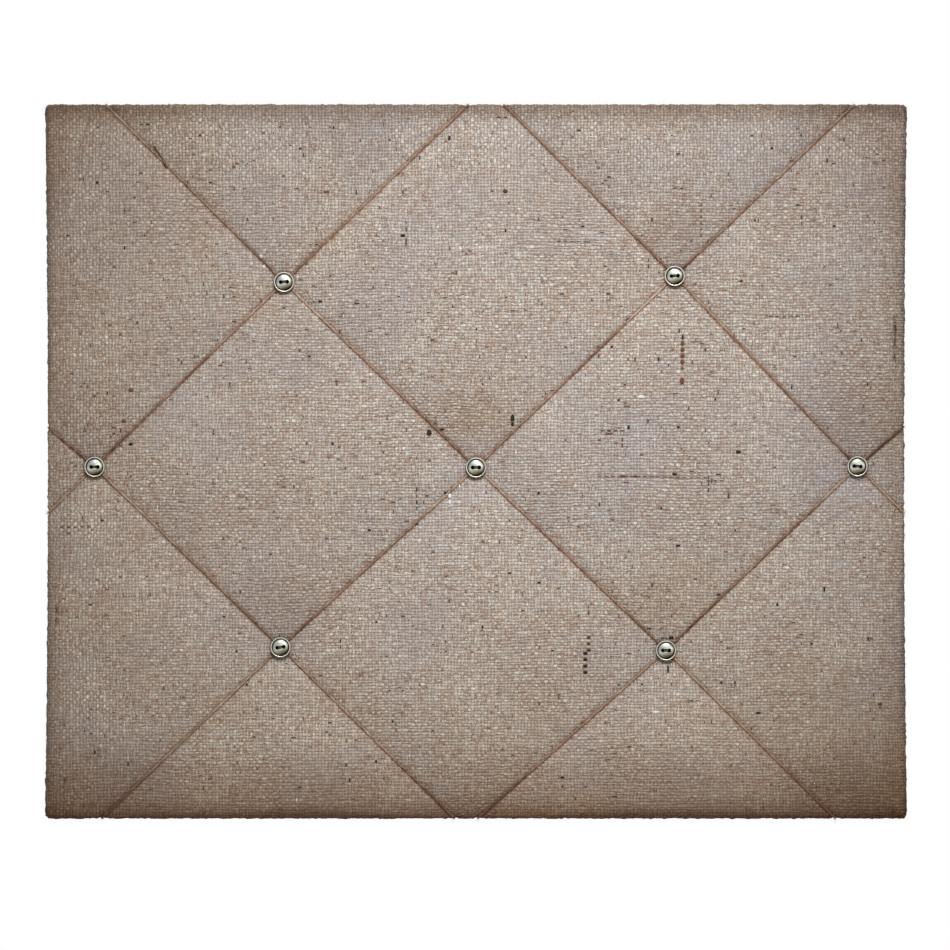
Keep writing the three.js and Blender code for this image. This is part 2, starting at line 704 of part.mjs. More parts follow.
for (const { name, side, x, z } of hangers) {
  const hanger = new THREE.Group();
  hanger.name = "hanger_" + name;
  hanger.position.set(x, hemBack + SEAT, z);
  hanger.rotation.y = side < 0 ? Math.PI : 0;
  board.add(hanger);
  addPiece("hanger_strap_" + name, "hanger_plating", shell(strap), hanger);
  addPiece("hanger_ring_" + name, "hanger_plating", ring.clone(), hanger);
  addPiece("hanger_screw_" + name, "steel", shell(screw), hanger).position.set(STRAP_SCREW_AT, screwSeat, 0);
}

export default board;
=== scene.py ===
# %% [markdown]
# # A padded memo board in hessian
# This lesson dresses a packed CAD model. The solids give the sizes and say what moves: two D-rings swing
# on the back. Blender adds what a solid can't show: the weave, the twist of the string, the tarnish on the
# buttons. We load the frame first.

import math
from types import SimpleNamespace

import bmesh
import bpy
import numpy as np
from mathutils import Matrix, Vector


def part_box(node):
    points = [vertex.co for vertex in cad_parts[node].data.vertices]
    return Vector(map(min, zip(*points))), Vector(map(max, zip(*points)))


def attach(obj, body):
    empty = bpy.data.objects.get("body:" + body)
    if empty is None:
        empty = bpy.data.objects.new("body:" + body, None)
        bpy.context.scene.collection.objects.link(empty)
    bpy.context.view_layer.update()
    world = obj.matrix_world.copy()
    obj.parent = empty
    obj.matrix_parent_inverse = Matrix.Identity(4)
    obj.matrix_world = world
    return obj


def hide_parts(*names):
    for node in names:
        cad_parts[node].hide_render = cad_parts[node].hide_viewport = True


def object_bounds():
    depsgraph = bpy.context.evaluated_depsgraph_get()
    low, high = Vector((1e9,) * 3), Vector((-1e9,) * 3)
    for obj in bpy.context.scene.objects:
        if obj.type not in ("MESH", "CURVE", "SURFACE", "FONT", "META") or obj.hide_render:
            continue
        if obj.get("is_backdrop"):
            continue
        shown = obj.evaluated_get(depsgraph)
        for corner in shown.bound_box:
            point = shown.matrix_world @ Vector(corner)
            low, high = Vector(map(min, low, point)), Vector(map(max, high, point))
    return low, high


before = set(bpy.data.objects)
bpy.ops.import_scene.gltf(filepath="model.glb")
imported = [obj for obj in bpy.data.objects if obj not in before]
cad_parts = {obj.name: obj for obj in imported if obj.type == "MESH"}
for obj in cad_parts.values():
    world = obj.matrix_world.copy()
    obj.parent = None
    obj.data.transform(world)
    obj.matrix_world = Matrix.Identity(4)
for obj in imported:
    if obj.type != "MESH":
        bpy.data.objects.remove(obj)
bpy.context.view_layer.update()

# %% [markdown]
# ## Camera
# The board was photographed square on, from far away, so its sides stay parallel. A long lens a few metres
# off gives that. The board is 861 of the picture's 950 pixels wide and sits a little above its middle, so
# the camera stands level with a point below the board's middle instead of using lens shift.

# %% Camera
BOARD_WIDTH = 0.600
BOARD_HEIGHT = 0.497
FRONT = -0.0165
PICTURE_PIXELS = 950
BOARD_PIXELS = 861
MIDDLE_ACROSS = 476
MIDDLE_DOWN = 461.5
PIXEL = BOARD_WIDTH / BOARD_PIXELS
CAMERA_AWAY = 6.0
SENSOR = 36

camera = bpy.data.objects.new("camera", bpy.data.cameras.new("camera"))
camera.location = (
    (PICTURE_PIXELS / 2 - MIDDLE_ACROSS) * PIXEL,
    FRONT - CAMERA_AWAY,
    (MIDDLE_DOWN - PICTURE_PIXELS / 2) * PIXEL,
)
camera.rotation_euler = (math.pi / 2, 0, 0)
camera.data.sensor_width = SENSOR
camera.data.lens = SENSOR * CAMERA_AWAY / (PICTURE_PIXELS * PIXEL)
bpy.context.scene.collection.objects.link(camera)
bpy.context.scene.camera = camera
bpy.context.scene.view_settings.view_transform = "Standard"
print("lens", round(camera.data.lens, 1), "mm")

# %% [markdown]
# ## Writing shaders as sums
# A weave is arithmetic on thread numbers, and dozens of Math nodes are hard to read. The class below wraps
# a socket, so that an expression such as `1 - mask * 0.5` adds the nodes by itself. Every other node comes
# from one method, `node`, which sets the node's own settings first and then its sockets.

# %% Wires
def paint(red, green, blue):
    """A colour as a picture editor shows it, 0 to 255, in the linear values that shaders use."""
    shares = (red / 255, green / 255, blue / 255)
    linear = [c / 12.92 if c <= 0.04045 else ((c + 0.055) / 1.055) ** 2.4 for c in shares]
    return (*linear, 1.0)


WHITE = paint(255, 255, 255)


def sum_of(operation, swapped=False):
    """A method that adds one Math node to a wire's finish."""

    def method(wire, *others):
        values = [*others, wire] if swapped else [wire, *others]
        return wire.finish.node("Math", {"operation": operation}, values)

    return method


class Wire:
    """A socket that takes part in Python sums."""

    def __init__(self, finish, socket):
        self.finish = finish
        self.socket = socket

    __add__ = __radd__ = sum_of("ADD")
    __sub__ = sum_of("SUBTRACT")
    __rsub__ = sum_of("SUBTRACT", swapped=True)
    __mul__ = __rmul__ = sum_of("MULTIPLY")
    __truediv__ = sum_of("DIVIDE")
    __pow__ = sum_of("POWER")
    __mod__ = sum_of("FLOORED_MODULO")
    __gt__ = sum_of("GREATER_THAN")
    __lt__ = sum_of("LESS_THAN")
    __abs__ = sum_of("ABSOLUTE")
    __round__ = sum_of("ROUND")
    largest = sum_of("MAXIMUM")
    smallest = sum_of("MINIMUM")
    cosine = sum_of("COSINE")
    root = sum_of("SQRT")

    def between(self, low, high):
        """0 below low, 1 above high, and a smooth step from one to the other."""
        settings = {"interpolation_type": "SMOOTHSTEP"}
        return self.finish.node("MapRange", settings, {"Value": self, "From Min": low, "From Max": high})


print("mid grey in linear values", round(paint(128, 128, 128)[0], 3))

# %% [markdown]
# A finish is a material, or the world, whose tree starts empty. Its methods add the few kinds of node that
# the board needs: noise, ramps, mixes, bumps and values that a mesh carries.

# %% Finishes
class Finish:
    """One material or the world, built node by node."""

    def __init__(self, owner):
        owner.use_nodes = True
        self.owner = owner
        self.tree = owner.node_tree
        self.tree.nodes.clear()

    def node(self, kind, settings=None, inputs=(), output=0):
        made = self.tree.nodes.new("ShaderNode" + kind)
        for name, value in (settings or {}).items():
            if name == "stops":
                while len(made.color_ramp.elements) < len(value):
                    made.color_ramp.elements.new(1.0)
                for element, (position, colour) in zip(made.color_ramp.elements, value):
                    element.position = position
                    element.color = colour
            else:
                setattr(made, name, value)
        pairs = inputs.items() if isinstance(inputs, dict) else enumerate(inputs)
        for name, value in pairs:
            if isinstance(value, Wire):
                self.tree.links.new(value.socket, made.inputs[name])
            else:
                made.inputs[name].default_value = value
        return Wire(self, made.outputs[output]) if made.outputs else None

    def mix(self, share, first, second, blend="MIX"):
        settings = {"data_type": "RGBA", "blend_type": blend}
        return self.node("Mix", settings, {0: share, 6: first, 7: second}, output=2)

    def tinted(self, colour, share, tint):
        """The colour multiplied by a tint, as far as the share says."""
        return self.mix(1.0, colour, self.mix(share, WHITE, tint), "MULTIPLY")

    def mark(self, name):
        """A value that the mesh carries at each of its points."""
        return self.node("Attribute", {"attribute_name": name}, output=2)

    def ramp(self, value, *stops):
        return self.node("ValToRGB", {"stops": stops}, [value])

    def vector(self, x, y, z=0.0):
        return self.node("CombineXYZ", inputs=[x, y, z])

    def split(self, vector):
        return [self.node("SeparateXYZ", inputs=[vector], output=k) for k in range(3)]

    def noise(self, where, scale, detail=2.0, roughness=0.5):
        inputs = {"Vector": where, "Scale": scale, "Detail": detail, "Roughness": roughness}
        return self.node("TexNoise", inputs=inputs)

    def place(self):
        return self.node("TexCoord", output=3)

    def bump(self, height, distance, strength=1.0):
        return self.node("Bump", inputs={"Strength": strength, "Distance": distance, "Height": height})

    def shader(self, **inputs):
        named = {}
        for name, value in inputs.items():
            named[name.replace("_", " ").title().replace("Ior", "IOR")] = value
        surface = self.node("BsdfPrincipled", inputs=named)
        self.node("OutputMaterial", inputs={"Surface": surface})
        return self.owner


def new_finish(name):
    return Finish(bpy.data.materials.new(name))


print("a finish can", [name for name in vars(Finish) if not name.startswith("_")])

# %% [markdown]
# ## Light
# The photograph is lit softly from the front, a little from above and from the right: the bottom and the
# left edges are the darkest. One large lamp does that, and a second one behind shows the back in the views
# from there. The world gives the fill, fainter from behind, and shows white to the camera and to
# reflections, which makes the white background without more light on the cloth.

# %% World and lamps
world = bpy.data.worlds.new("studio")
bpy.context.scene.world = world
sky = Finish(world)
direction = sky.split(sky.node("TexCoord", output=0))
fill = (0.10 - 0.07 * direction[1] + 0.03 * direction[2]).largest(0.03) + 0.05 * abs(direction[0])
warm = sky.mix(direction[2].between(-0.7, 0.6), (1.0, 0.68, 0.46, 1.0), (0.90, 0.96, 1.0, 1.0))
ambient = sky.node("Background", inputs={"Color": warm, "Strength": fill})
white = sky.node("Background", inputs={"Color": WHITE, "Strength": 1.0})
rays = [sky.node("LightPath", output=k) for k in (0, 3, 6)]
seen = rays[0].largest(rays[1]).largest(rays[2])
sky.node("OutputWorld", inputs={"Surface": sky.node("MixShader", inputs=[seen, ambient, white])})


def disk_lamp(name, size, energy, spread, place, aim):
    lamp = bpy.data.objects.new(name, bpy.data.lights.new(name, "AREA"))
    lamp.data.shape = "DISK"
    lamp.data.size = size
    lamp.data.energy = energy
    lamp.data.spread = math.radians(spread)
    lamp.location = place
    lamp.rotation_euler = (Vector(aim) - lamp.location).to_track_quat("-Z", "Y").to_euler()
    bpy.context.scene.collection.objects.link(lamp)
    print(name, round(lamp.location.length, 2), "m from the middle of the board")


disk_lamp("key_lamp", size=0.7, energy=1.82, spread=42, place=(0.12, -1.30, 1.05), aim=(0.04, 0, 0.04))
disk_lamp("back_lamp", size=1.2, energy=6.0, spread=70, place=(-0.5, 1.5, 0.9), aim=(0, 0, 0))

# %% [markdown]
# ## Floor
# The board hangs on a wall, so the floor is far below it. A disc of pale floor catches the soft shadow in
# the views from above.

# %% Floor
FLOOR = -1.0
FLOOR_RADIUS = 2.6
bpy.ops.mesh.primitive_circle_add(
    vertices=96, radius=FLOOR_RADIUS, fill_type="NGON", location=(0, 0, FLOOR)
)
floor = bpy.context.object
floor.name = "floor"
ground = new_finish("pale_floor")
speckle = ground.noise(ground.place(), 40.0)
floor.data.materials.append(ground.shader(
    base_color=ground.mix(speckle, paint(236, 235, 232), paint(242, 241, 239)),
    roughness=0.9,
    emission_color=ground.mix(ground.node("LightPath"), paint(128, 128, 128), paint(222, 222, 221)),
    emission_strength=1.0,
))
floor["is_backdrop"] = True
print("floor", -FLOOR, "m below the middle of the board")

# %% [markdown]
# ## Where the lattice lies
# The frame knows where the buttons and the cords are. Each cord runs straight from one edge of the board to
# the next button, on to the others, and over the far edge, so its line can be read from the boxes of the
# nodes. No number has to be repeated here.

# %% Lattice
BUTTONS = ["upper_left", "upper_right", "middle_left", "centre", "middle_right", "lower_left", "lower_right"]
CORDS = {
    "falling_cord_upper": ("top", ["upper_right", "middle_right"], "right"),
    "falling_cord_middle": ("top", ["upper_left", "centre", "lower_right"], "bottom"),
    "falling_cord_lower": ("left", ["middle_left", "lower_left"], "bottom"),
    "rising_cord_upper": ("left", ["middle_left", "upper_left"], "top"),
    "rising_cord_middle": ("bottom", ["lower_left", "centre", "upper_right"], "top"),
    "rising_cord_lower": ("bottom", ["lower_right", "middle_right"], "right"),
}
CORD_RADIUS = 0.0009
SIDE_PULL = 0.002


def middle(node):
    low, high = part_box(node)
    return (low + high) / 2


def side_half(z):
    """Half the board's width at a height: the cords draw the two sides in."""
    along = np.minimum(1, np.abs(2 * z / BOARD_HEIGHT))
    return BOARD_WIDTH / 2 - SIDE_PULL * (1 - along**2)


def edge_point(node, edge, last):
    """Where a cord passes over an edge, from the corners of its box."""
    low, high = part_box(node)
    x = high.x - CORD_RADIUS if last else low.x + CORD_RADIUS
    rising = node.startswith("rising")
    z = high.z - CORD_RADIUS if rising == last else low.z + CORD_RADIUS
    if edge in ("top", "bottom"):
        return (x, BOARD_HEIGHT / 2 if edge == "top" else -BOARD_HEIGHT / 2)
    return (side_half(z) * (1 if edge == "right" else -1), z)


button_at = {name: middle("button_" + name) for name in BUTTONS}
lines = {}
for node, (first, passed, last) in CORDS.items():
    plan = [edge_point(node, first, False)]
    plan += [(button_at[name].x, button_at[name].z) for name in passed]
    plan += [edge_point(node, last, True)]
    lines[node] = np.array(plan)
    print(node, np.round(lines[node] * 1000, 1).tolist())

# %% [markdown]
# ## The shape of the padding
# Taut cloth over wadding behaves as a sheet on a soft bed: a cord presses a narrow crease, and on both sides
# the padding swells back over a hand's breadth. A button, where two cords cross, pulls it deepest. A cloth
# simulation would spend minutes to reach this shape, so the depth is written as a formula of the distance
# to the two nearest cords, with slow lumps added, since wadding is never even.

# %% Padding
CROWN = -0.0272
SAG = 0.00635
SAG_REACH = 0.032
CREASE = 0.0010
CREASE_HALF = 0.0045
EDGE_ROLL = 0.009
HEM_LEVEL = -0.0023
BACK_ROLL = 0.0012
HEM_WIDTH = 0.0576
LUMP = 0.00022
LUMP_LENGTH = 0.07
EDGE_BLEND = 0.0006
chance = np.random.default_rng(7)


def waves(x, z, length, count, seed):
    """Slow random lumps: a few crossed sine waves of about one wavelength."""
    dice = np.random.default_rng(seed)
    total = np.zeros_like(x)
    for turn, stretch, phase in dice.random((count, 3)):
        pace = 2 * math.pi / (length * (0.7 + 0.8 * stretch))
        total += np.sin(pace * (x * math.cos(turn * math.pi) + z * math.sin(turn * math.pi)) + phase * 7)
    return total / math.sqrt(count)


def beside(x, z, way):
    """Distance to the nearest cord that runs this way, below zero on its lower side."""
    best = np.full_like(x, 1.0)
    for name, plan in lines.items():
        if not name.startswith(way):
            continue
        for k in range(len(plan) - 1):
            start, span = plan[k], plan[k + 1] - plan[k]
            share = ((x - start[0]) * span[0] + (z - start[1]) * span[1]) / (span @ span)
            share = np.clip(share, 0 if k else -0.2, 1 if k < len(plan) - 2 else 1.2)
            right, up = x - start[0] - share * span[0], z - start[1] - share * span[1]
            away = np.hypot(right, up) * np.where(span[0] * up - span[1] * right < 0, -1, 1)
            best = np.where(np.abs(away) < np.abs(best), away, best)
    return best


def sink(away):
    crease = np.where(away < CREASE_HALF, 0.5 + 0.5 * np.cos(math.pi * away / CREASE_HALF), 0)
    return CREASE * crease + SAG * np.exp(-away / SAG_REACH)


def depth(x, z):
    falling = sink(np.abs(beside(x, z, "falling")))
    rising = sink(np.abs(beside(x, z, "rising")))
    return np.hypot(falling, rising) + LUMP * waves(x, z, LUMP_LENGTH, 9, 3)


def front_level(x, z, roll):
    """The cloth's depth in front, where the roll of the edge and the quilting meet softly."""
    quilt = CROWN + depth(x, z)
    return 0.5 * (roll + quilt + np.sqrt((roll - quilt) ** 2 + EDGE_BLEND**2))


at_centre = depth(np.array([button_at["centre"].x]), np.array([button_at["centre"].z]))
print("depth at the centre button", np.round(at_centre * 1000, 2), "mm")

# %% [markdown]
# ## Cloth as crossings of threads
# Hessian has about eleven threads to the inch. If every vertex is one crossing of an upright and a level
# thread, the mesh can carry the weave itself: crossings stand proud or lie back by turns, and the outline
# gets the bumps that the photograph shows. A grid makes the front; rings of the same count carry the
# threads round the edge and on to the back. The rings come first: each has an inset from the outline and a
# level, from a profile that rolls over the front edge, goes down the side and turns on to the back.

# %% Cloth edge
RING_STEP = 0.0022
CORNER = 0.004


def roll_profile(arc, roll, crown, side_end, back_roll):
    """Inset from the outline and level of a point that many metres round the edge."""
    quarter = roll * math.pi / 2
    side = side_end - (crown + roll)
    turn = back_roll * math.pi / 2
    if arc < quarter:
        angle = arc / roll
        return roll * (1 - math.sin(angle)), crown + roll * (1 - math.cos(angle))
    if arc < quarter + side:
        return 0.0, crown + roll + (arc - quarter)
    if arc < quarter + side + turn:
        angle = (arc - quarter - side) / back_roll
        return back_roll * (1 - math.cos(angle)), side_end + back_roll * math.sin(angle)
    return back_roll + (arc - quarter - side - turn), side_end + back_roll


def ring_plan(x, z, half_x, half_z, inset):
    """A point of the front grid's border, moved out to the outline at an inset."""
    b = BOARD_HEIGHT / 2 - inset
    across = z / half_z * b
    a = side_half(across) - inset
    place = np.stack([x / half_x * a, across], axis=1)
    radius = max(CORNER - inset, 0.001)
    centre = np.stack([a - radius, np.full_like(a, b - radius)], axis=1)
    beyond = np.abs(place) - centre
    cut = (beyond > 0).all(axis=1)
    reach = np.linalg.norm(beyond[cut], axis=1, keepdims=True)
    place[cut] = np.sign(place[cut]) * (centre[cut] + beyond[cut] / reach * radius)
    return place


side_end = HEM_LEVEL - BACK_ROLL
round_the_edge = EDGE_ROLL * math.pi / 2 + (side_end - CROWN - EDGE_ROLL) + BACK_ROLL * math.pi / 2
arc_length = round_the_edge + HEM_WIDTH - BACK_ROLL
arcs = np.linspace(0, arc_length, round(arc_length / RING_STEP) + 1)[1:]
rings = [roll_profile(arc, EDGE_ROLL, CROWN, side_end, BACK_ROLL) for arc in arcs]
print(len(rings), "rings over", round(arc_length * 1000, 1), "mm of cloth")

# %% [markdown]
# The grid covers the flat of the front. For each ring its border points are moved out to the outline, so a
# ring has one point for each thread, and plain quads fill the strips between the rings.

# %% Cloth grid
WARP = 0.00231
WEFT = 0.00216


def draped(columns, rows, rings, roll):
    """Points of a grid with rings round it, and the border's grid numbers."""
    half_x = BOARD_WIDTH / 2 - roll
    half_z = BOARD_HEIGHT / 2 - roll
    across, up = np.linspace(-half_x, half_x, columns + 1), np.linspace(-half_z, half_z, rows + 1)
    x, z = np.meshgrid(across, up)
    border = [(i, 0) for i in range(columns)] + [(columns, j) for j in range(rows)]
    border += [(i, rows) for i in range(columns, 0, -1)] + [(0, j) for j in range(rows, 0, -1)]
    border = np.array(border)
    edge_x = x[border[:, 1], border[:, 0]]
    edge_z = z[border[:, 1], border[:, 0]]
    shapes = [(ring_plan(edge_x, edge_z, half_x, half_z, inset), level) for inset, level in rings]
    return x, z, border, shapes


def grid_faces(columns, rows, border, ring_count):
    """Quads of the grid and of the rings, all facing out."""

    def number(i, j):
        return j * (columns + 1) + i

    i, j = np.meshgrid(np.arange(columns), np.arange(rows))
    corners = [number(i, j), number(i + 1, j), number(i + 1, j + 1), number(i, j + 1)]
    front = np.stack(corners, axis=-1).reshape(-1, 4)
    loops = [number(border[:, 0], border[:, 1])]
    first = (columns + 1) * (rows + 1)
    loops += [first + k * len(border) + np.arange(len(border)) for k in range(ring_count)]
    strips = []
    for near, far in zip(loops[:-1], loops[1:]):
        strips.append(np.stack([near, far, np.roll(far, -1), np.roll(near, -1)], axis=1))
    return front, np.concatenate(strips)


columns = round(2 * (BOARD_WIDTH / 2 - EDGE_ROLL) / WARP)
rows = round(2 * (BOARD_HEIGHT / 2 - EDGE_ROLL) / WEFT)
x, z, border, shapes = draped(columns, rows, rings, EDGE_ROLL)
x_threads, z_threads = np.meshgrid(np.arange(columns + 1), np.arange(rows + 1))
print(columns, "by", rows, "quads in front, rings of", len(border), "points")

# %% [markdown]
# The threads wander a little, since a power loom isn't a ruler, and the relief of the weave is added along
# the outward direction. On the back the hem is turned like a parcel: each corner has a mitre, with the
# upper layer standing a little proud.

# %% Cloth mesh
RELIEF = 0.00016
NOTCH = 0.0011
NOTCH_HALF = 0.0019
MITRE_PROUD = 0.0005
MITRE_REACH = 0.010
MITRE_GAP = 0.0012
AT_EDGE = 0.985
WANDER_ACROSS = 0.0004
WANDER_UP = 0.0005
cord_ends = np.array([plan[k] for plan in lines.values() for k in (0, -1)])
x_moved = x + WANDER_ACROSS * waves(x, z, 0.09, 8, 11)
z_moved = z + WANDER_UP * waves(x, z, 0.11, 8, 12)
parity = 1 - 2 * ((x_threads + z_threads) % 2)
level = front_level(x_moved, z_moved, CROWN)
level -= RELIEF * (0.4 * parity + 0.6 * chance.standard_normal(level.shape))
cloth_points = [np.stack([x_moved, level, z_moved], axis=-1).reshape(-1, 3)]
ring_parity = 1 - 2 * (border.sum(axis=1) % 2)
for count, ((place, flat_level), arc) in enumerate(zip(shapes, arcs)):
    inset = rings[count][0]
    on_front = arc < EDGE_ROLL * math.pi / 2
    on_back = arc > round_the_edge
    y = np.full(len(place), flat_level)
    if on_front:
        y = front_level(place[:, 0], place[:, 1], y)
    bumps = RELIEF * (ring_parity * (-1) ** count + chance.standard_normal(len(place)))
    outward = place / np.abs(place).max(axis=0)
    outward = np.where(np.abs(outward) > AT_EDGE, np.sign(outward), 0)
    slope = math.sin(min(arc / EDGE_ROLL, math.pi / 2))
    if on_back:
        from_side = BOARD_WIDTH / 2 - np.abs(place[:, 0])
        from_level = BOARD_HEIGHT / 2 - np.abs(place[:, 1])
        mitre = np.abs(from_side - from_level)
        proud = MITRE_PROUD * np.clip(1 - mitre / MITRE_REACH, 0, 1) * (mitre > MITRE_GAP)
        y += np.where(from_side < from_level, 0, proud) + 0.4 * bumps
    else:
        away = np.linalg.norm(place[:, None] - cord_ends[None], axis=2)
        away = np.sqrt(np.maximum(away.min(axis=1) ** 2 - inset**2, 0))
        dent = NOTCH * np.exp(-((away / NOTCH_HALF) ** 2))
        place = place + outward * (slope * (1.6 * bumps - dent))[:, None]
        y -= math.cos(min(arc / EDGE_ROLL, math.pi / 2)) * bumps
    cloth_points.append(np.stack([place[:, 0], y, place[:, 1]], axis=1))
cloth_points = np.concatenate(cloth_points)
front_faces, strip_faces = grid_faces(columns, rows, border, len(rings))
print(len(cloth_points), "points of cloth")

# %% [markdown]
# ## Pieces on the frame
# Every piece that is made here rides on a body of the frame, so that it moves with it. It can also carry
# values at its points, which its finish then reads by name.

# %% Pieces
def placed(name, mesh):
    """An object of the scene with this mesh."""
    made = bpy.data.objects.new(name, mesh)
    bpy.context.scene.collection.objects.link(made)
    return made


def make_piece(name, points, faces, finish, slot, body="board", sharp=None):
    """A mesh that rides on a body of the frame."""
    mesh = bpy.data.meshes.new(name)
    mesh.from_pydata([tuple(p) for p in points], [], [tuple(int(n) for n in f) for f in faces])
    mesh.polygons.foreach_set("use_smooth", [True] * len(mesh.polygons))
    if sharp:
        mesh.set_sharp_from_angle(angle=math.radians(sharp))
    mesh.materials.append(finish)
    piece = placed(name, mesh)
    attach(piece, body)
    return piece


def mark(piece, name, values):
    """A value at each point of a piece, for its finish to read."""
    piece.data.attributes.new(name, "FLOAT", "POINT").data.foreach_set("value", values)


print(len(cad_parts), "CAD pieces to dress")

# %% [markdown]
# ## Threads by number
# The material needs to know which thread it is on. The UV map says so: one unit across is one upright
# thread, one unit up is one level thread, and on the edges the count simply goes on. The corners of the hem
# are seams of the map, as they are mitres of the cloth.

# %% Thread map
ring_arcs = np.concatenate([[0], arcs])
loop_size = len(border)


def thread_map(mesh):
    front_uv = np.stack([front_faces % (columns + 1), front_faces // (columns + 1)], axis=-1).astype(float)
    step = np.arange(len(strip_faces))
    ring, along = step // loop_size, step % loop_size
    side = np.searchsorted([columns, columns + rows, 2 * columns + rows], along, side="right")
    below, on_right, above, on_left = [(side == k)[:, None] for k in range(4)]
    far = np.array([0, 1, 1, 0])
    out = ring_arcs[ring[:, None] + far[None, :]]
    place = cloth_points[strip_faces]
    pitch_x = 2 * (BOARD_WIDTH / 2 - EDGE_ROLL) / columns
    pitch_z = 2 * (BOARD_HEIGHT / 2 - EDGE_ROLL) / rows
    s = place[..., 0] / pitch_x + columns / 2
    t = place[..., 2] / pitch_z + rows / 2
    s = np.where(on_right, columns + out / pitch_x, np.where(on_left, -out / pitch_x, s))
    t = np.where(below, -out / pitch_z, np.where(above, rows + out / pitch_z, t))
    strip_uv = np.stack([s, t], axis=-1)
    layer = mesh.uv_layers.new(name="threads")
    layer.data.foreach_set("uv", np.concatenate([front_uv.reshape(-1, 2), strip_uv.reshape(-1, 2)]).ravel())


print("threads counted over", len(front_faces) + len(strip_faces), "faces")

# %% [markdown]
# ## Hessian
# In a plain weave each thread passes over one neighbour and under the next. With the threads numbered, an
# upright one is on top where the sum of the two numbers is even. Its height is a half round across, riding
# on a wave along; the level one has the opposite wave, and the higher of the two is what shows. Threads get
# a painted highlight on their ridges and painted shade in the gaps between them. Above a button the cloth
# is drawn up, and the level threads show more; below it the upright ones do.

# %% Hessian finish
def weave_threads(finish):
    """Which threads cross at a point, which one is on top, how high it is and how well lit."""
    s, t, _ = finish.split(finish.node("UVMap", {"uv_map": "threads"}))
    pulled_s = finish.noise(finish.vector(s * 0.8, t * 0.30, 2.0), 1.0, 3.0, 0.6)
    pulled_t = finish.noise(finish.vector(s * 0.22, t * 0.8, 7.0), 1.0, 3.0, 0.6)
    s = s + 2.0 * (pulled_s - 0.5)
    t = t + 1.7 * (pulled_t - 0.5)
    upright, level = round(s), round(t)
    upright_sign = 1 - 2 * (upright % 2)
    level_sign = 1 - 2 * (level % 2)
    wander_up = finish.noise(finish.vector(upright * 7.31, t * 0.6), 1.0)
    wander_level = finish.noise(finish.vector(s * 0.6, level * 5.77, 40.0), 1.0)
    width_up = 0.30 + 0.30 * wander_up
    width_level = 0.22 + 0.30 * wander_level
    round_up = (1 - ((s - upright) / width_up) ** 2.0).largest(0.0).root()
    round_level = (1 - ((t - level) / width_level) ** 2.0).largest(0.0).root()
    wave_up = upright_sign * (t * math.pi).cosine()
    wave_level = 0 - level_sign * (s * math.pi).cosine()

    # One set of threads lies over the other by patches, and evens out towards the left and the top
    drawn = finish.mark("drawn")
    inner = s.smallest(columns - s).smallest(rows - t).between(6.0, 34.0)
    plain = s.smallest(rows - t).between(6.0, 34.0)
    patches = finish.noise(finish.vector(s * 0.035, t * 0.035, 60.0), 1.0, 1.0)
    lean = 0.8 * (patches - 0.5) - 0.24 * plain - 0.11 * drawn
    height_up = round_up + 0.6 * wave_up - (round_up < 0.01) + lean
    height_level = round_level + 0.6 * wave_level - (round_level < 0.01) - lean
    on_top = height_up > height_level

    # The rim gets painted shade, and its two sets of threads are lit more alike
    rim_shade = 0.095 * (inner + plain) - 0.19
    alike = 0.09 - 0.09 * plain
    lit_up = 0.76 * round_up**4.0 + 0.34 * wave_up + 0.9 * lean + rim_shade + alike
    lit_level = 0.76 * round_level**4.0 + 0.30 * wave_level + rim_shade - alike
    return SimpleNamespace(
        s=s,
        t=t,
        upright=upright,
        level=level,
        on_top=on_top,
        height=height_up.largest(height_level).largest(-0.6),
        lit=(lit_level + on_top * (lit_up - lit_level)).largest(0.0).smallest(1.0),
        lean=lean,
        drawn=drawn,
    )


print("weave of", columns + 1, "by", rows + 1, "threads in front")

# %% [markdown]
# Each yarn has its own tone, which drifts along its length. Single floats are redder or greyer, and larger
# clouds turn the cloth greyer or yellower. Towards the edges the cloth gets painted shade, and it is darker
# and yellower towards the foot; those tints count threads from the edge, and end on the sides, so that the
# back stays untinted.

# %% Hessian yarns
def yarn_colour(finish, weave, fluff):
    s, t, on_top = weave.s, weave.t, weave.on_top
    tone_up = finish.noise(finish.vector(weave.upright * 9.13, t * 0.3, 11.0), 1.0, 3.0, 0.7)
    tone_level = finish.noise(finish.vector(s * 0.3, weave.level * 6.37, 23.0), 1.0, 3.0, 0.7)
    crossing = finish.vector(weave.upright, weave.level, on_top)
    dice = finish.node("TexWhiteNoise", {"noise_dimensions": "3D"}, [crossing], output=1)
    float_tone, float_warm, float_cool = finish.split(dice)
    tone = 0.5 + 0.46 * (tone_level + 0.06 + on_top * (tone_up - tone_level + 0.4 * weave.lean) - 0.5)
    # A little painted shade above each button and painted light below it
    tone = tone + 1.25 * (fluff - 0.5) + 0.14 * (float_tone - 0.5) - 0.04 * weave.drawn
    yarn = finish.ramp(
        tone,
        (0.28, paint(158, 130, 110)),
        (0.42, paint(200, 180, 164)),
        (0.52, paint(221, 206, 193)),
        (0.62, paint(236, 226, 213)),
        (0.76, paint(252, 249, 240)),
    )
    yarn = finish.mix(0.50 * float_warm.between(0.60, 1.0), yarn, paint(182, 134, 108))
    yarn = finish.mix(0.5 * float_cool.between(0.55, 1.0), yarn, paint(206, 204, 206))
    cloud = finish.noise(finish.place(), 13.0, 3.0, 0.6).between(0.42, 0.66)
    grey = finish.mix(cloud * 0.34, yarn, paint(198, 191, 197))
    warmth = finish.noise(finish.vector(s * 0.016, t * 0.021, 5.0), 1.0, 3.0, 0.6).between(0.50, 0.78)
    return finish.mix(warmth * 0.22, grey, paint(196, 172, 140))


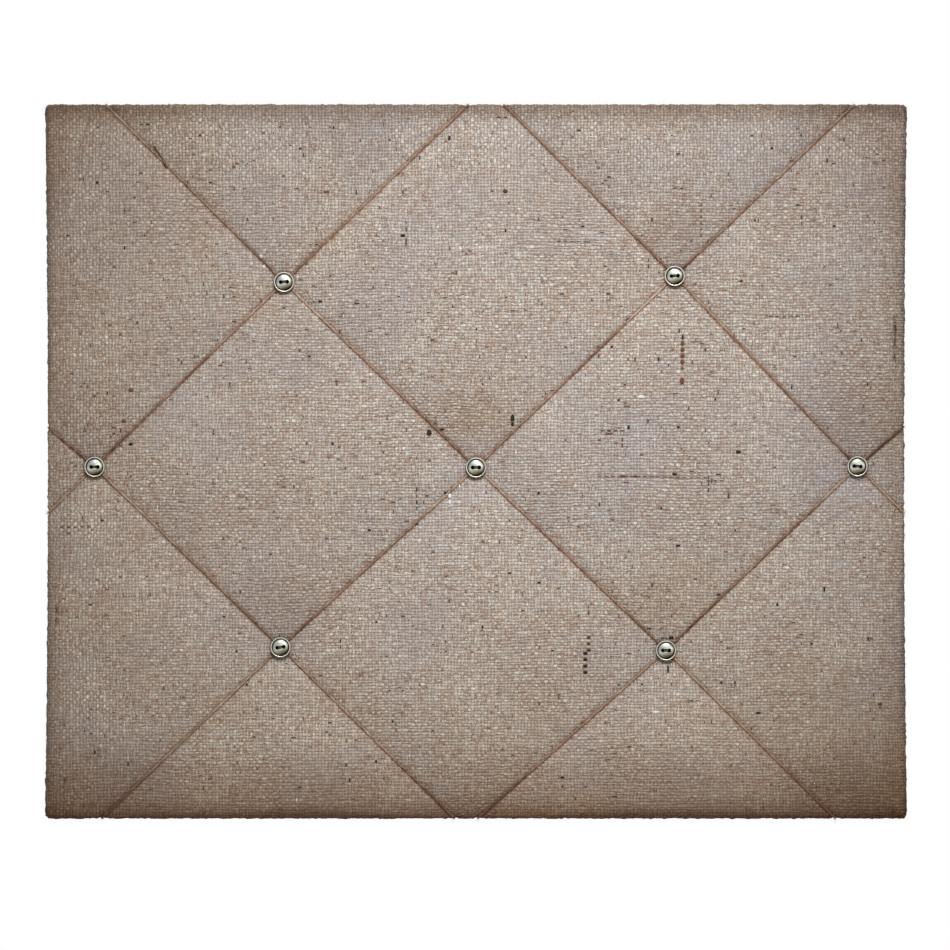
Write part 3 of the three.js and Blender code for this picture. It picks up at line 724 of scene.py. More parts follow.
def edge_tints(weave):
    """How far each tint of the edges reaches, counted in threads, and its colour."""
    s, t = weave.s, weave.t
    past_left, past_right = 0 - s, s - float(columns)
    past_foot, past_top = 0 - t, t - float(rows)
    past_side, past_level = past_left.largest(past_right), past_foot.largest(past_top)
    ahead = 1 - past_side.largest(past_level).between(9.0, 16.0)
    corners = past_side.between(-60.0, 0.0) * past_level.between(-60.0, 0.0)
    far_corner = past_right.between(-60.0, 0.0) * past_foot.between(-60.0, 0.0)
    yellowed = past_foot.between(-110.0, -5.0).largest(past_left.between(-120.0, 0.0))
    # Painted shade on the sides, the corners, the lower right corner and the top; darker at the foot and on
    # its underside, and yellower at the foot and the left
    tints = [
        (past_side.between(-6.0, 0.0), paint(242, 237, 233)),
        (corners, paint(238, 233, 229)),
        (far_corner, paint(242, 236, 226)),
        (past_top.between(-4.0, 5.0), paint(202, 190, 178)),
        (past_foot.between(-24.0, 0.0), paint(220, 209, 198)),
        (past_foot.between(-4.0, 6.0), paint(186, 159, 134)),
        (past_foot.between(3.5, 6.5), paint(222, 212, 216)),
        (yellowed, paint(255, 250, 243)),
    ]
    return [(share * ahead, tint) for share, tint in tints]


def hessian_finish():
    finish = new_finish("hessian")
    weave = weave_threads(finish)
    fluff = finish.noise(finish.vector(weave.s * 2.3, weave.t * 2.3, weave.on_top * 9.0), 1.0, 2.0, 0.8)
    # Painted highlight on the ridges of the threads and painted shade in the gaps between them
    gap = finish.mix(weave.lit, (0.560, 0.519, 0.495, 1.0), (1.045, 1.090, 1.100, 1.0))
    colour = finish.mix(1.0, yarn_colour(finish, weave, fluff), gap, "MULTIPLY")
    for share, tint in edge_tints(weave):
        colour = finish.tinted(colour, share, tint)
    # Painted shade above each button, where the drawn-up cloth slopes away from the lamp
    colour = finish.tinted(colour, weave.drawn, paint(249, 244, 238))
    # Painted shade in the creases beside the cords
    beside_cord = abs(finish.mark("beside_falling")).smallest(abs(finish.mark("beside_rising")))
    crease_shade = 1 - beside_cord.between(0.0005, 0.0028)
    colour = finish.tinted(colour, crease_shade, paint(234, 221, 210))
    # Near-black painted shade under the buttons, in a ring round their upper part and along the mitre folds
    return finish.shader(
        base_color=finish.mix(finish.mark("covered"), colour, paint(14, 11, 10)),
        roughness=0.92,
        specular_ior_level=0.18,
        normal=finish.bump(weave.height + 0.5 * fluff, 0.00055, 0.7),
    )


hessian = hessian_finish()
print("hessian finish of", len(hessian.node_tree.nodes), "nodes")

# %% [markdown]
# The sheet carries what the finish can't work out: how far the buttons draw the cloth up or down, which
# also sets painted shade above each button, how far the cords are away, and where the cloth gets painted
# shade: under a button, in a ring round it, and along the fold of a mitre.

# %% Hessian sheet
PULL_UP = 0.032
PULL_WIDE = 0.028
PULL_HIGH = 0.026
PULLS = {"centre": (1.0, 0.9), "upper_right": (0.9, 0.2), "upper_left": (0.1, 0.3)}
USUAL_PULL = (0.8, 0.2)
HIDDEN_RADIUS = 0.0060
SHADE_RADIUS = 0.0098
FOLD_HALF = 0.0024

cloth_faces = np.concatenate([front_faces, strip_faces])
cover = make_piece("hessian_sheet", cloth_points, cloth_faces, hessian, "hessian")
thread_map(cover.data)
cloth_x, cloth_y, cloth_z = cloth_points.T
in_front = cloth_y < HEM_LEVEL - 0.01
drawn = np.zeros(len(cloth_points))
covered = np.zeros(len(cloth_points))
for name, place in button_at.items():
    above, below = PULLS.get(name, USUAL_PULL)
    across, up = cloth_x - place.x, cloth_z - place.z
    # The pull of each button, weighted by PULLS, also sets painted shade above it and painted light below it
    drawn += above * np.exp(-((across / PULL_WIDE) ** 2) - ((up - PULL_UP) / PULL_HIGH) ** 2)
    drawn -= below * np.exp(-((across / PULL_WIDE) ** 2) - ((up + PULL_UP) / PULL_HIGH) ** 2)
    away = np.hypot(across, up)
    # Painted shade under the button and in a ring round its upper part and sides
    hidden = np.clip((HIDDEN_RADIUS - away) / 0.001, 0, 1)
    shade = 0.34 * np.clip((SHADE_RADIUS - away) / 0.0025, 0, 1) * np.clip(1 + up / 0.004, 0, 1)
    covered = np.maximum(covered, in_front * np.maximum(hidden, shade))
from_side = BOARD_WIDTH / 2 - np.abs(cloth_x)
from_level = BOARD_HEIGHT / 2 - np.abs(cloth_z)
# Painted shadow along the fold of each mitre on the back
folded = (cloth_y > HEM_LEVEL - 0.001) * np.clip(1 - np.abs(from_side - from_level) / FOLD_HALF, 0, 1)
mark(cover, "drawn", drawn)
mark(cover, "covered", np.maximum(covered, 0.75 * folded))
for way in ("falling", "rising"):
    away = beside(cloth_x, cloth_z, way)
    away[cloth_y > CROWN + EDGE_ROLL] = 1.0
    mark(cover, "beside_" + way, away)
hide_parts("hessian_cover")

# %% [markdown]
# ## Tubes along a line
# String, stitches, wire and fibres are all thin round things along a line. One function sweeps a ring of
# points along it and turns the ring as little as it can, so that nothing twists by accident.

# %% Sweep
def carried_frames(line):
    """Tangents, and two directions across them that turn as little as possible."""
    tangents = np.gradient(line, axis=0)
    tangents /= np.linalg.norm(tangents, axis=1, keepdims=True)
    start = np.cross(tangents[0], [0.31, 0.87, 0.38])
    across = [start / np.linalg.norm(start)]
    for tangent in tangents[1:]:
        moved = across[-1] - tangent * (across[-1] @ tangent)
        across.append(moved / np.linalg.norm(moved))
    across = np.array(across)
    return tangents, across, np.cross(tangents, across)


def sweep(line, radius, sides):
    """Points and faces of a tube with closed ends; radius may change along it."""
    line = np.asarray(line, float)
    radius = np.broadcast_to(radius, len(line))
    _, across, over = carried_frames(line)
    angles = 2 * math.pi * np.arange(sides) / sides
    ring = np.cos(angles)[None, :, None] * across[:, None] + np.sin(angles)[None, :, None] * over[:, None]
    points = (line[:, None] + radius[:, None, None] * ring).reshape(-1, 3)
    faces = []
    for k in range(len(line) - 1):
        for n in range(sides):
            m = (n + 1) % sides
            faces.append((k * sides + n, k * sides + m, (k + 1) * sides + m, (k + 1) * sides + n))
    faces.append(tuple(range(sides - 1, -1, -1)))
    faces.append(tuple((len(line) - 1) * sides + n for n in range(sides)))
    return points, faces


def joined(parts):
    """Several swept parts as one set of points and faces."""
    points, faces, count = [], [], 0
    for part_points, part_faces in parts:
        faces += [tuple(n + count for n in face) for face in part_faces]
        points.append(part_points)
        count += len(part_points)
    return np.concatenate(points), faces


def evenly(line, step):
    """The same line with points a fixed step apart."""
    line = np.asarray(line, float)
    along = np.concatenate([[0], np.cumsum(np.linalg.norm(np.diff(line, axis=0), axis=1))])
    at = np.linspace(0, along[-1], max(2, round(along[-1] / step) + 1))
    return np.stack([np.interp(at, along, line[:, k]) for k in range(3)], axis=1)


def eased(line, rounds):
    """Corners of a line worn round."""
    for _ in range(rounds):
        inner = 0.25 * line[:-2] + 0.5 * line[1:-1] + 0.25 * line[2:]
        line = np.concatenate([line[:1], inner, line[-1:]])
    return line


print("a tube of two rings has", len(sweep([(0, 0, 0), (0, 0, 1)], 0.1, 8)[1]), "faces")

# %% [markdown]
# ## Odd yarns
# Jute is a rough fibre: bits of bark, dark slubs and the odd red or white yarn are spun in. A yarn shows
# only where it passes over the one that it crosses, so an odd yarn looks like a row of dashes. The large
# ones follow the photograph; of the many specks only colours, counts and sizes are given here.

# %% Odd yarns
BARK = (0.012, 0.008, 0.007)
RUST = (0.210, 0.090, 0.055)
BROWN = (0.085, 0.048, 0.032)
UMBER = (0.190, 0.066, 0.034)
CREAM = (0.980, 0.960, 0.920)
ODD_YARNS = [
    # up or across, its place in pixels, first and last pixel, colour, width in mm
    ("up", 588, 638, 649, BROWN, 3.2), ("up", 586, 651, 675, BARK, 3.4),
    ("up", 590, 604, 613, BROWN, 1.0), ("up", 670, 666, 674, BARK, 1.3),
    ("across", 639, 668, 673, BARK, 1.6), ("up", 651, 582, 588, BARK, 0.8),
    ("across", 713, 754, 759, BARK, 1.4), ("up", 512, 414, 421, BARK, 2.4),
    ("up", 511, 422, 427, BARK, 1.6), ("up", 513, 420, 428, CREAM, 0.7),
    ("up", 679, 329, 334, BARK, 0.7), ("up", 682, 336, 341, BARK, 1.4),
    ("up", 682, 342, 347, UMBER, 2.3), ("up", 681, 348, 353, UMBER, 2.3),
    ("up", 680, 354, 359, UMBER, 2.5), ("up", 682, 361, 366, UMBER, 2.5),
    ("up", 681, 367, 370, RUST, 1.4), ("up", 683, 378, 385, UMBER, 2.6),
    ("up", 659, 359, 363, BARK, 1.3), ("up", 715, 400, 403, BARK, 1.3),
    ("across", 452, 735, 740, BARK, 2.2), ("across", 429, 598, 626, BROWN, 1.0),
    ("across", 432, 604, 612, RUST, 1.4), ("up", 622, 438, 450, BROWN, 0.9),
    ("up", 700, 205, 236, BROWN, 0.8), ("up", 416, 488, 508, BARK, 0.9),
    ("up", 448, 137, 142, BARK, 1.5), ("across", 390, 127, 132, RUST, 2.4),
    ("across", 420, 122, 127, RUST, 2.0), ("across", 234, 401, 406, BARK, 1.7),
    ("up", 406, 238, 246, RUST, 1.3), ("up", 406, 228, 233, UMBER, 1.0),
    ("up", 357, 189, 194, BARK, 0.9), ("across", 191, 324, 331, RUST, 1.3),
    ("across", 300, 316, 320, BARK, 1.3), ("across", 303, 354, 360, BROWN, 1.0),
    ("up", 823, 586, 592, BARK, 1.2), ("up", 868, 635, 640, BARK, 0.9),
    ("across", 568, 786, 790, CREAM, 1.7), ("across", 807, 503, 507, BARK, 1.9),
    ("across", 478, 598, 706, RUST, 0.8), ("across", 478, 618, 623, UMBER, 1.4),
    ("across", 478, 631, 636, UMBER, 1.2), ("across", 475, 673, 678, BARK, 1.5),
    ("across", 475, 716, 722, BARK, 0.8), ("up", 707, 478, 490, BARK, 0.8),
    ("up", 713, 478, 484, BARK, 0.8), ("across", 526, 60, 90, BROWN, 0.8),
    ("across", 480, 708, 722, BARK, 0.8), ("up", 431, 431, 437, BARK, 3.0),
    ("across", 491, 442, 447, BARK, 1.2), ("across", 190, 504, 509, BROWN, 2.4),
    ("across", 118, 498, 508, BARK, 0.9), ("across", 124, 140, 150, BARK, 0.8),
    ("across", 316, 770, 800, BROWN, 0.8), ("across", 240, 556, 590, BROWN, 0.8),
    ("up", 262, 257, 261, CREAM, 2.3), ("up", 263, 265, 269, CREAM, 2.1),
    ("across", 396, 637, 644, CREAM, 1.9), ("across", 712, 652, 658, CREAM, 1.9),
    ("up", 449, 493, 498, CREAM, 2.1), ("up", 449, 500, 504, CREAM, 1.8),
]
SPECKS = [
    # colour, how many, thinnest and thickest in mm
    (BARK, 110, 0.6, 1.8), (BROWN, 420, 0.5, 1.3), (RUST, 900, 0.5, 1.1), (CREAM, 220, 0.5, 1.0),
]
STRAY = [(154, 146), (158, 152), (162, 159), (166, 168)]
print(len(ODD_YARNS), "odd yarns and", sum(count for _, count, _, _ in SPECKS), "specks")

# %% [markdown]
# Each dash is a small flat slub on its crossing: a short tube, pressed flat, that follows the cloth. A long
# yarn is a row of them on every other crossing. A seeded dice scatters the specks over the front.

# %% Slubs
ONE_SLUB = 9
SLUB_SWELL = np.array([0.35, 0.9, 1.0, 0.95, 0.85, 0.3])
SLUB_FLAT = 0.4
SLUB_LIFT = 0.0002


def column_of(pixel):
    return round(((pixel - MIDDLE_ACROSS) * PIXEL + BOARD_WIDTH / 2 - EDGE_ROLL) / WARP)


def row_of(pixel):
    return round(((MIDDLE_DOWN - pixel) * PIXEL + BOARD_HEIGHT / 2 - EDGE_ROLL) / WEFT)


def slub(i, j, way, length, width):
    """A flat grain that lies on one crossing of the cloth, along its yarn."""
    start = cloth_points[j * (columns + 1) + i]
    along = np.array([0, 0, 1]) if way == "up" else np.array([1, 0, 0])
    line = start + np.linspace(-0.5, 0.5, len(SLUB_SWELL))[:, None] * length * along
    line[:, 1] = 0
    points, faces = sweep(line, width / 2 * SLUB_SWELL, 7)
    cloth_level = front_level(points[:, 0], points[:, 2], CROWN)
    points[:, 1] = SLUB_FLAT * points[:, 1] + cloth_level - RELIEF - SLUB_LIFT
    return points, faces


grains, grain_colours = [], []


def lay(part, colour):
    grains.append(part)
    grain_colours.append(np.tile([*colour, 1.0], (len(part[0]), 1)))


for way, line, start, end, colour, width in ODD_YARNS:
    if way == "up":
        run = [(column_of(line), j) for j in range(row_of(end), row_of(start) + 1)]
    else:
        run = [(i, row_of(line)) for i in range(column_of(start), column_of(end) + 1)]
    if end - start < ONE_SLUB:
        lay(slub(*run[len(run) // 2], way, (end - start) * PIXEL, 1.2 * width / 1000), colour)
        continue
    dash = 0.0030 if width < 2 else 0.0021
    for i, j in run:
        if (i + j) % 2 == (0 if way == "up" else 1):
            lay(slub(i, j, way, dash, width * chance.uniform(0.8, 1.2) / 1000), colour)

for colour, count, thin, thick in SPECKS:
    for _ in range(count):
        i, j = chance.integers(2, columns - 1), chance.integers(2, rows - 1)
        way = "up" if (i + j) % 2 == 0 else "across"
        width = thin + (thick - thin) * chance.random() ** 2
        lay(slub(i, j, way, chance.uniform(0.0012, 0.0034), width / 1000), colour)
stray = np.array([((px - MIDDLE_ACROSS) * PIXEL, 0, (MIDDLE_DOWN - pz) * PIXEL) for px, pz in STRAY])
stray[:, 1] = front_level(stray[:, 0], stray[:, 2], CROWN) - 0.0008
lay(sweep(eased(evenly(stray, 0.001), 4), 0.00035, 6), BARK)
print(len(grains), "odd grains in the weave")

# %% [markdown]
# All the slubs are one piece with one finish. Each point carries the colour of its yarn, so that five
# colours don't need five materials.

# %% Odd yarn finish
odd = new_finish("odd_yarn")
odd_colour = odd.node("Attribute", {"attribute_name": "yarn"})
strands = odd.noise(odd.place(), 1500.0, 2.0)
odd_paint = odd.shader(
    base_color=odd.mix(0.15 * strands, odd_colour, paint(116, 90, 72)),
    roughness=0.9,
    normal=odd.bump(strands, 0.0002, 0.6),
)
odd_yarns = make_piece("odd_yarns", *joined(grains), odd_paint, "hessian")
yarn_layer = odd_yarns.data.attributes.new("yarn", "FLOAT_COLOR", "POINT")
yarn_layer.data.foreach_set("color", np.concatenate(grain_colours).ravel())
print(len(odd_yarns.data.polygons), "faces of odd yarn")

# %% [markdown]
# ## String
# The lattice is brown jute string. Each cord lies in its crease, goes over the edge of the board, and ends
# in a short tail on the back. A curve drawn by hand would float or sink, so the line is laid on the cloth's
# own formula. Where two cords cross under a button, the rising one is lifted over the other.

# %% String lines
CORD_LIFT = 0.00085
CORD_TAIL = 0.016
CORD_STEP = 0.0007
CROSSING_LIFT = 0.0021
CROSSING_HALF = 0.004


def edge_turn(place, edge):
    """A cord's way from the front, round an edge, to its tail on the back."""
    normal = {"top": (0, 1), "bottom": (0, -1), "left": (-1, 0), "right": (1, 0)}[edge]
    reach = EDGE_ROLL + CORD_LIFT
    sunk = float(depth(np.array([place[0]]), np.array([place[1]]))[0])
    first = math.asin(max(0, (reach - sunk) / reach))
    turn = BACK_ROLL + CORD_LIFT
    way = []
    for angle in np.linspace(first, 0, 6):
        out = (reach - NOTCH) * math.cos(angle) - EDGE_ROLL
        way.append((out, CROWN + EDGE_ROLL - reach * math.sin(angle)))
    for angle in np.linspace(0, math.pi / 2, 6):
        out = (turn - NOTCH) * math.cos(angle) - BACK_ROLL
        way.append((out, side_end + turn * math.sin(angle)))
    way.append((-BACK_ROLL - CORD_TAIL, HEM_LEVEL + CORD_LIFT))
    return np.array([(place[0] + normal[0] * out, y, place[1] + normal[1] * out) for out, y in way])


def cord_line(node):
    plan = lines[node]
    first, _, last = CORDS[node]
    flat = evenly(np.stack([plan[:, 0], np.zeros(len(plan)), plan[:, 1]], axis=1), 0.002)
    lift = np.full(len(flat), CORD_LIFT)
    if node.startswith("rising"):
        for button in button_at.values():
            away = np.hypot(flat[:, 0] - button.x, flat[:, 2] - button.z)
            lift += CROSSING_LIFT * np.exp(-((away / CROSSING_HALF) ** 2))
    flat[:, 1] = CROWN + depth(flat[:, 0], flat[:, 2]) - lift
    start = edge_turn(plan[0], first)[::-1]
    end = edge_turn(plan[-1], last)
    return eased(evenly(np.concatenate([start, flat[2:-2], end]), CORD_STEP), 3)


cord_lines = {node: cord_line(node) for node in CORDS}
for node, line in cord_lines.items():
    print(node, round(float(np.linalg.norm(np.diff(line, axis=0), axis=1).sum()), 3), "m")

# %% [markdown]
# The string has three twisted plies: three tubes that wind round the line, thicker and thinner as hand-spun
# jute is. Above a button the string gets painted shade, where it dives into the tuft, and below it painted
# light.

# %% String
PLIES = 3
PLY_RADIUS = 0.00043
PLY_OFFSET = 0.00039
TWIST = 0.0060
TUFT_SHADE_REACH = 0.03


def string_finish():
    finish = new_finish("jute_string")
    place = finish.place()
    tone = finish.noise(place, 190.0, 4.0, 0.65)
    slow = finish.noise(place, 17.0, 3.0, 0.6)
    # Painted shade above each button and painted light below it
    colour = finish.ramp(
        0.5 * tone + 0.5 * slow - 0.19 * finish.mark("tucked"),
        (0.34, paint(100, 70, 56)),
        (0.44, paint(152, 117, 97)),
        (0.54, paint(186, 154, 132)),
        (0.66, paint(216, 194, 174)),
    )
    fibres = finish.noise(place, 2600.0, 3.0, 0.7)
    foot = (0 - finish.split(place)[2]).between(0.205, 0.246)
    return finish.shader(
        base_color=finish.tinted(colour, foot, paint(178, 158, 142)),
        roughness=0.9,
        specular_ior_level=0.15,
        sheen_weight=0.35,
        sheen_roughness=0.5,
        sheen_tint=paint(206, 176, 154),
        normal=finish.bump(fibres, 0.00025, 0.7),
    )


def twisted(line, seed):
    """Plies wound round a line, each a little thicker and thinner along its way."""
    dice = np.random.default_rng(seed)
    _, across, over = carried_frames(line)
    along = np.concatenate([[0], np.cumsum(np.linalg.norm(np.diff(line, axis=0), axis=1))])
    parts = []
    for ply in range(PLIES):
        angle = (2 * math.pi * (along / TWIST + ply / PLIES) + 0.5 * np.sin(along * 90 + ply))[:, None]
        centre = line + PLY_OFFSET * (np.cos(angle) * across + np.sin(angle) * over)
        knots = dice.uniform(0.62, 1.30, max(4, int(along[-1] / 0.006)))
        swell = np.interp(along, np.linspace(0, along[-1], len(knots)), knots)
        parts.append(sweep(centre, PLY_RADIUS * swell, 6))
    return joined(parts)


jute_string = string_finish()
for seed, (node, line) in enumerate(cord_lines.items()):
    points, faces = twisted(line, seed)
    cord = make_piece(node.replace("cord", "string"), points, faces, jute_string, "string")
    # Painted shade along the string above each button and painted light below it
    tucked = np.zeros(len(points))
    for place in button_at.values():
        across, up = points[:, 0] - place.x, points[:, 2] - place.z
        tucked += up / 0.02 * np.exp(-((across**2 + up**2) / TUFT_SHADE_REACH**2))
    mark(cord, "tucked", tucked)
    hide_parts(node)
print(len(cord_lines), "strings of", PLIES, "plies")

# %% [markdown]
# ## Buttons
# Seven two-hole metal buttons: a raised rim, a groove inside it, and a shallow dome with a slot where the
# two holes are. A turned profile gives the round form, as on a lathe. The slot and holes are cut with a
# Boolean, and a small bevel rounds the edges so that they catch the light.

# %% Turning and carving
def turned(profile, facets):
    """A closed round form; each step of the profile is a radius and a height, front towards -Y."""
    angles = 2 * math.pi * np.arange(facets) / facets
    points, faces = [], []
    for radius, height in profile:
        points += [(radius * math.cos(a), -height, radius * math.sin(a)) for a in angles]
    for k in range(len(profile) - 1):
        for n in range(facets):
            m = (n + 1) % facets
            faces.append((k * facets + n, (k + 1) * facets + n, (k + 1) * facets + m, k * facets + m))
    faces.append(tuple(range(facets)))
    faces.append(tuple((len(profile) - 1) * facets + n for n in range(facets - 1, -1, -1)))
    return points, faces


def capsule(half_length, radius, low, high, facets=12):
    """An upright slot-shaped block, for cutting."""
    outline = []
    for side in (1, -1):
        for a in np.linspace(-math.pi / 2, math.pi / 2, facets):
            outline.append((side * (half_length + radius * math.cos(a)), side * radius * math.sin(a)))
    count = len(outline)
    points = [(px, low, pz) for px, pz in outline] + [(px, high, pz) for px, pz in outline]
    faces = [(n, (n + 1) % count, count + (n + 1) % count, count + n) for n in range(count)]
    faces += [tuple(range(count - 1, -1, -1)), tuple(range(count, 2 * count))]
    return points, faces


def plain_object(name, points, faces):
    mesh = bpy.data.meshes.new(name)
    mesh.from_pydata([tuple(p) for p in points], [], faces)
    return placed(name, mesh)


def facing_out(made):
    work = bmesh.new()
    work.from_mesh(made.data)
    bmesh.ops.recalc_face_normals(work, faces=work.faces)
    work.to_mesh(made.data)
    work.free()


def carve(body, tools, bevel):
    """The body with the tools cut out and its edges rounded, as a new mesh."""
    for made in (body, *tools):
        facing_out(made)
    for tool in tools:
        change = body.modifiers.new("cut", "BOOLEAN")
        change.object = tool
        change.solver = "EXACT"
    rounding = body.modifiers.new("round", "BEVEL")
    rounding.width = bevel
    rounding.segments = 2
    rounding.limit_method = "ANGLE"
    rounding.angle_limit = math.radians(40)
    mesh = bpy.data.meshes.new_from_object(body.evaluated_get(bpy.context.evaluated_depsgraph_get()))
    for made in (body, *tools):
        bpy.data.objects.remove(made)
    mesh.polygons.foreach_set("use_smooth", [True] * len(mesh.polygons))
    mesh.set_sharp_from_angle(angle=math.radians(35))
    return mesh


print("a slot-shaped cutter has", len(capsule(0.002, 0.001, 0, 0.001)[1]), "faces")

# %% [markdown]
# The photograph gives the button's radii, about twenty pixels across, and its shading gives the order of
# the forms. The profile runs from the back over the rim and the groove to the top of the dome.

# %% Button mesh
HOLE_APART = 0.0044
HOLE_RADIUS = 0.00142
SLOT_HALF = 0.00205
SLOT_RADIUS = 0.00100
SLOT_FLOOR = -0.0010
CUT_FRONT = 0.004

# Radius and height in millimetres
back = [(0.4, 0.0), (6.5, 0.0), (6.85, 0.08), (7.05, 0.4)]
rim = [(7.05, 1.55), (6.98, 1.9), (6.78, 2.14), (6.5, 2.2), (6.28, 2.12), (6.14, 1.86)]
groove = [(6.06, 1.4), (5.92, 1.22), (5.7, 1.16)]
dome_steps = (1.0, 0.995, 0.97, 0.93, 0.86, 0.76, 0.64, 0.5, 0.34, 0.18, 0.03)
dome = [(5.5 * step, 1.2 + 1.5 * math.sqrt(1 - step * step)) for step in dome_steps]
profile = [(radius / 1000, height / 1000) for radius, height in back + rim + groove + dome]
blank = plain_object("blank", *turned(profile, 72))
tools = [plain_object("slot", *capsule(SLOT_HALF, SLOT_RADIUS, -CUT_FRONT, SLOT_FLOOR))]
for side in (-1, 1):
    points, faces = turned([(HOLE_RADIUS, -0.001), (HOLE_RADIUS, CUT_FRONT)], 24)
    points = [(px + side * HOLE_APART / 2, py, pz) for px, py, pz in points]
    tools.append(plain_object("hole", points, faces))
button_mesh = carve(blank, tools, 0.00006)
print("button", len(button_mesh.polygons), "faces")

# %% [markdown]
# The metal is an old nickel plate gone yellow: bright where use polished it, with dark patina in the groove
# and the slot, where nobody polishes. The slot and holes and the outer side of the rim get painted shade as
# well; the upper dome gets painted shade that tones down the lamp's highlight, and the lower dome a painted
# reflection, olive and then nearly black. The distance from the middle of the button finds those places.

# %% Button finish
TILTS = {"upper_left": 4, "upper_right": 5, "middle_right": -3, "lower_left": 10}


def button_finish():
    finish = new_finish("tarnish_and_painted_reflection")
    bx, by, bz = finish.split(finish.place())
    radius = (bx * bx + bz * bz).root()
    groove = radius.between(0.0054, 0.0057) * (1 - radius.between(0.0060, 0.0063))
    rim = radius.between(0.0060, 0.0063)
    slot = (1 - radius.between(0.0034, 0.0038)) * (by + 0.0022).between(-0.0001, 0.0002)
    rim_side = radius.between(0.00685, 0.00705)
    cloudy = finish.noise(finish.place(), 330.0, 3.0, 0.6)
    metal = finish.ramp(
        cloudy,
        (0.30, paint(172, 172, 157)),
        (0.50, paint(198, 200, 190)),
        (0.70, paint(210, 213, 207)),
    )
    # Painted light on the dome: painted shade on its upper part that tones down the lamp's highlight, and a
    # painted reflection below, olive and then nearly black
    lower = 0.35 * bx - 0.94 * bz
    dimmed = finish.mix((0 - lower).between(0.0003, 0.0027), metal, paint(150, 155, 147))
    olive = finish.mix(0.80 * lower.between(0.0004, 0.0034), dimmed, paint(136, 127, 94))
    black = finish.mix(0.80 * lower.between(0.0030, 0.0050), olive, paint(24, 21, 17))
    plated = finish.mix(rim, black, paint(208, 200, 184))
    # Dark patina in the groove and the slot, and painted shade in the slot and holes and on the outer side
    # of the rim
    dark = groove.largest(slot).largest(rim_side * 0.8)
    scratches = finish.noise(finish.vector(bx * 400.0, by * 400.0, bz * 9000.0), 1.0, 2.0)
    return finish.shader(
        base_color=finish.mix(dark * 0.97, plated, paint(16, 13, 15)),
        metallic=1.0,
        roughness=0.32 + 0.16 * cloudy + 0.25 * dark,
        normal=finish.bump(scratches, 0.00002, 0.35),
    )


button_tarnish_and_reflection = button_finish()
button_mesh.materials.clear()
button_mesh.materials.append(button_tarnish_and_reflection)
for name, place in button_at.items():
    piece = placed("metal_button_" + name, button_mesh.copy())
    piece.location = (place.x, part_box("button_" + name)[1].y, place.z)
    piece.rotation_euler.y = -math.radians(TILTS.get(name, 0))
    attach(piece, "board")
    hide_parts("button_" + name)
print(len(button_at), "buttons, tilted by up to", max(TILTS.values()), "degrees")

# %% [markdown]
# ## Stitches
# Strong thread runs up through one hole, across the slot and down the other, through padding and panel to a
# knot behind. Two strands side by side show in the slot.

# %% Stitches
STRAND_ASIDE = 0.00021
STRAND_RADIUS = 0.00018
KNOT_RADIUS = 0.0008


def speckled(name, dark, pale, grain, roughness, raised=None, **more):
    """A finish of two colours mixed by fine noise, which may raise the surface too."""
    finish = new_finish(name)
    tone = finish.noise(finish.place(), *grain)
    if raised:
        more["normal"] = finish.bump(tone, *raised)
    return finish.shader(base_color=finish.mix(tone, dark, pale), roughness=roughness, **more)


thread_brown, thread_pale = paint(104, 88, 78), paint(172, 152, 138)
button_thread = speckled("button_thread", thread_brown, thread_pale, (900.0, 3.0), 0.85, (0.0001, 0.6))
for name, place in button_at.items():
    low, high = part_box("thread_" + name)
    tilt = math.radians(TILTS.get(name, 0))
    parts = []
    for strand in (-1, 1):
        aside = strand * STRAND_ASIDE
        front = low.y + 0.0009
        back = high.y - 0.0006
        leg = HOLE_APART / 2 - 0.0010
        half = [(0.0002, back), (leg - 0.0006, back), (leg, high.y - 0.0012)]
        half += [(leg, front + 0.002), (leg - 0.0001, front + 0.0006), (leg - 0.0007, front)]
        way = [(px, py, aside) for px, py in half] + [(-px, py, aside) for px, py in reversed(half)]
        turned_way = []
        for px, py, pz in way:
            tx = px * math.cos(tilt) - pz * math.sin(tilt)
            tz = px * math.sin(tilt) + pz * math.cos(tilt)
            turned_way.append((place.x + tx, py, place.z + tz))
        parts.append(sweep(eased(evenly(turned_way, 0.0004), 2), STRAND_RADIUS, 6))
    ball = evenly([(place.x, high.y - 0.0012, place.z), (place.x, high.y, place.z)], 0.0001)
    swell = KNOT_RADIUS * np.sqrt(np.clip(1 - np.linspace(-0.97, 0.97, len(ball)) ** 2, 0, 1))
    parts.append(sweep(ball, swell, 10))
    points, faces = joined(parts)
    stitch = make_piece("stitch_" + name, points, faces, button_thread, "thread")
    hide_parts("thread_" + name)
print("stitches through", len(button_at), "buttons")

# %% [markdown]
# ## Wadding
# The wadding can't be seen, but the cover rests on it, so it is a real pad: the same quilted front a cloth's
# thickness further in, and a flat back where it lies on the panel.

# %% Wadding
PAD_DROP = 0.0013
SIDE_DROP = 0.0031
PAD_FLOOR = -0.0129
PAD_END = -0.0056
PAD_SIDE = -0.010
PAD_LIP = 0.0043
PAD_SEAT = 0.0105
PAD_GRID = (110, 92)
ROLL_RINGS = 5


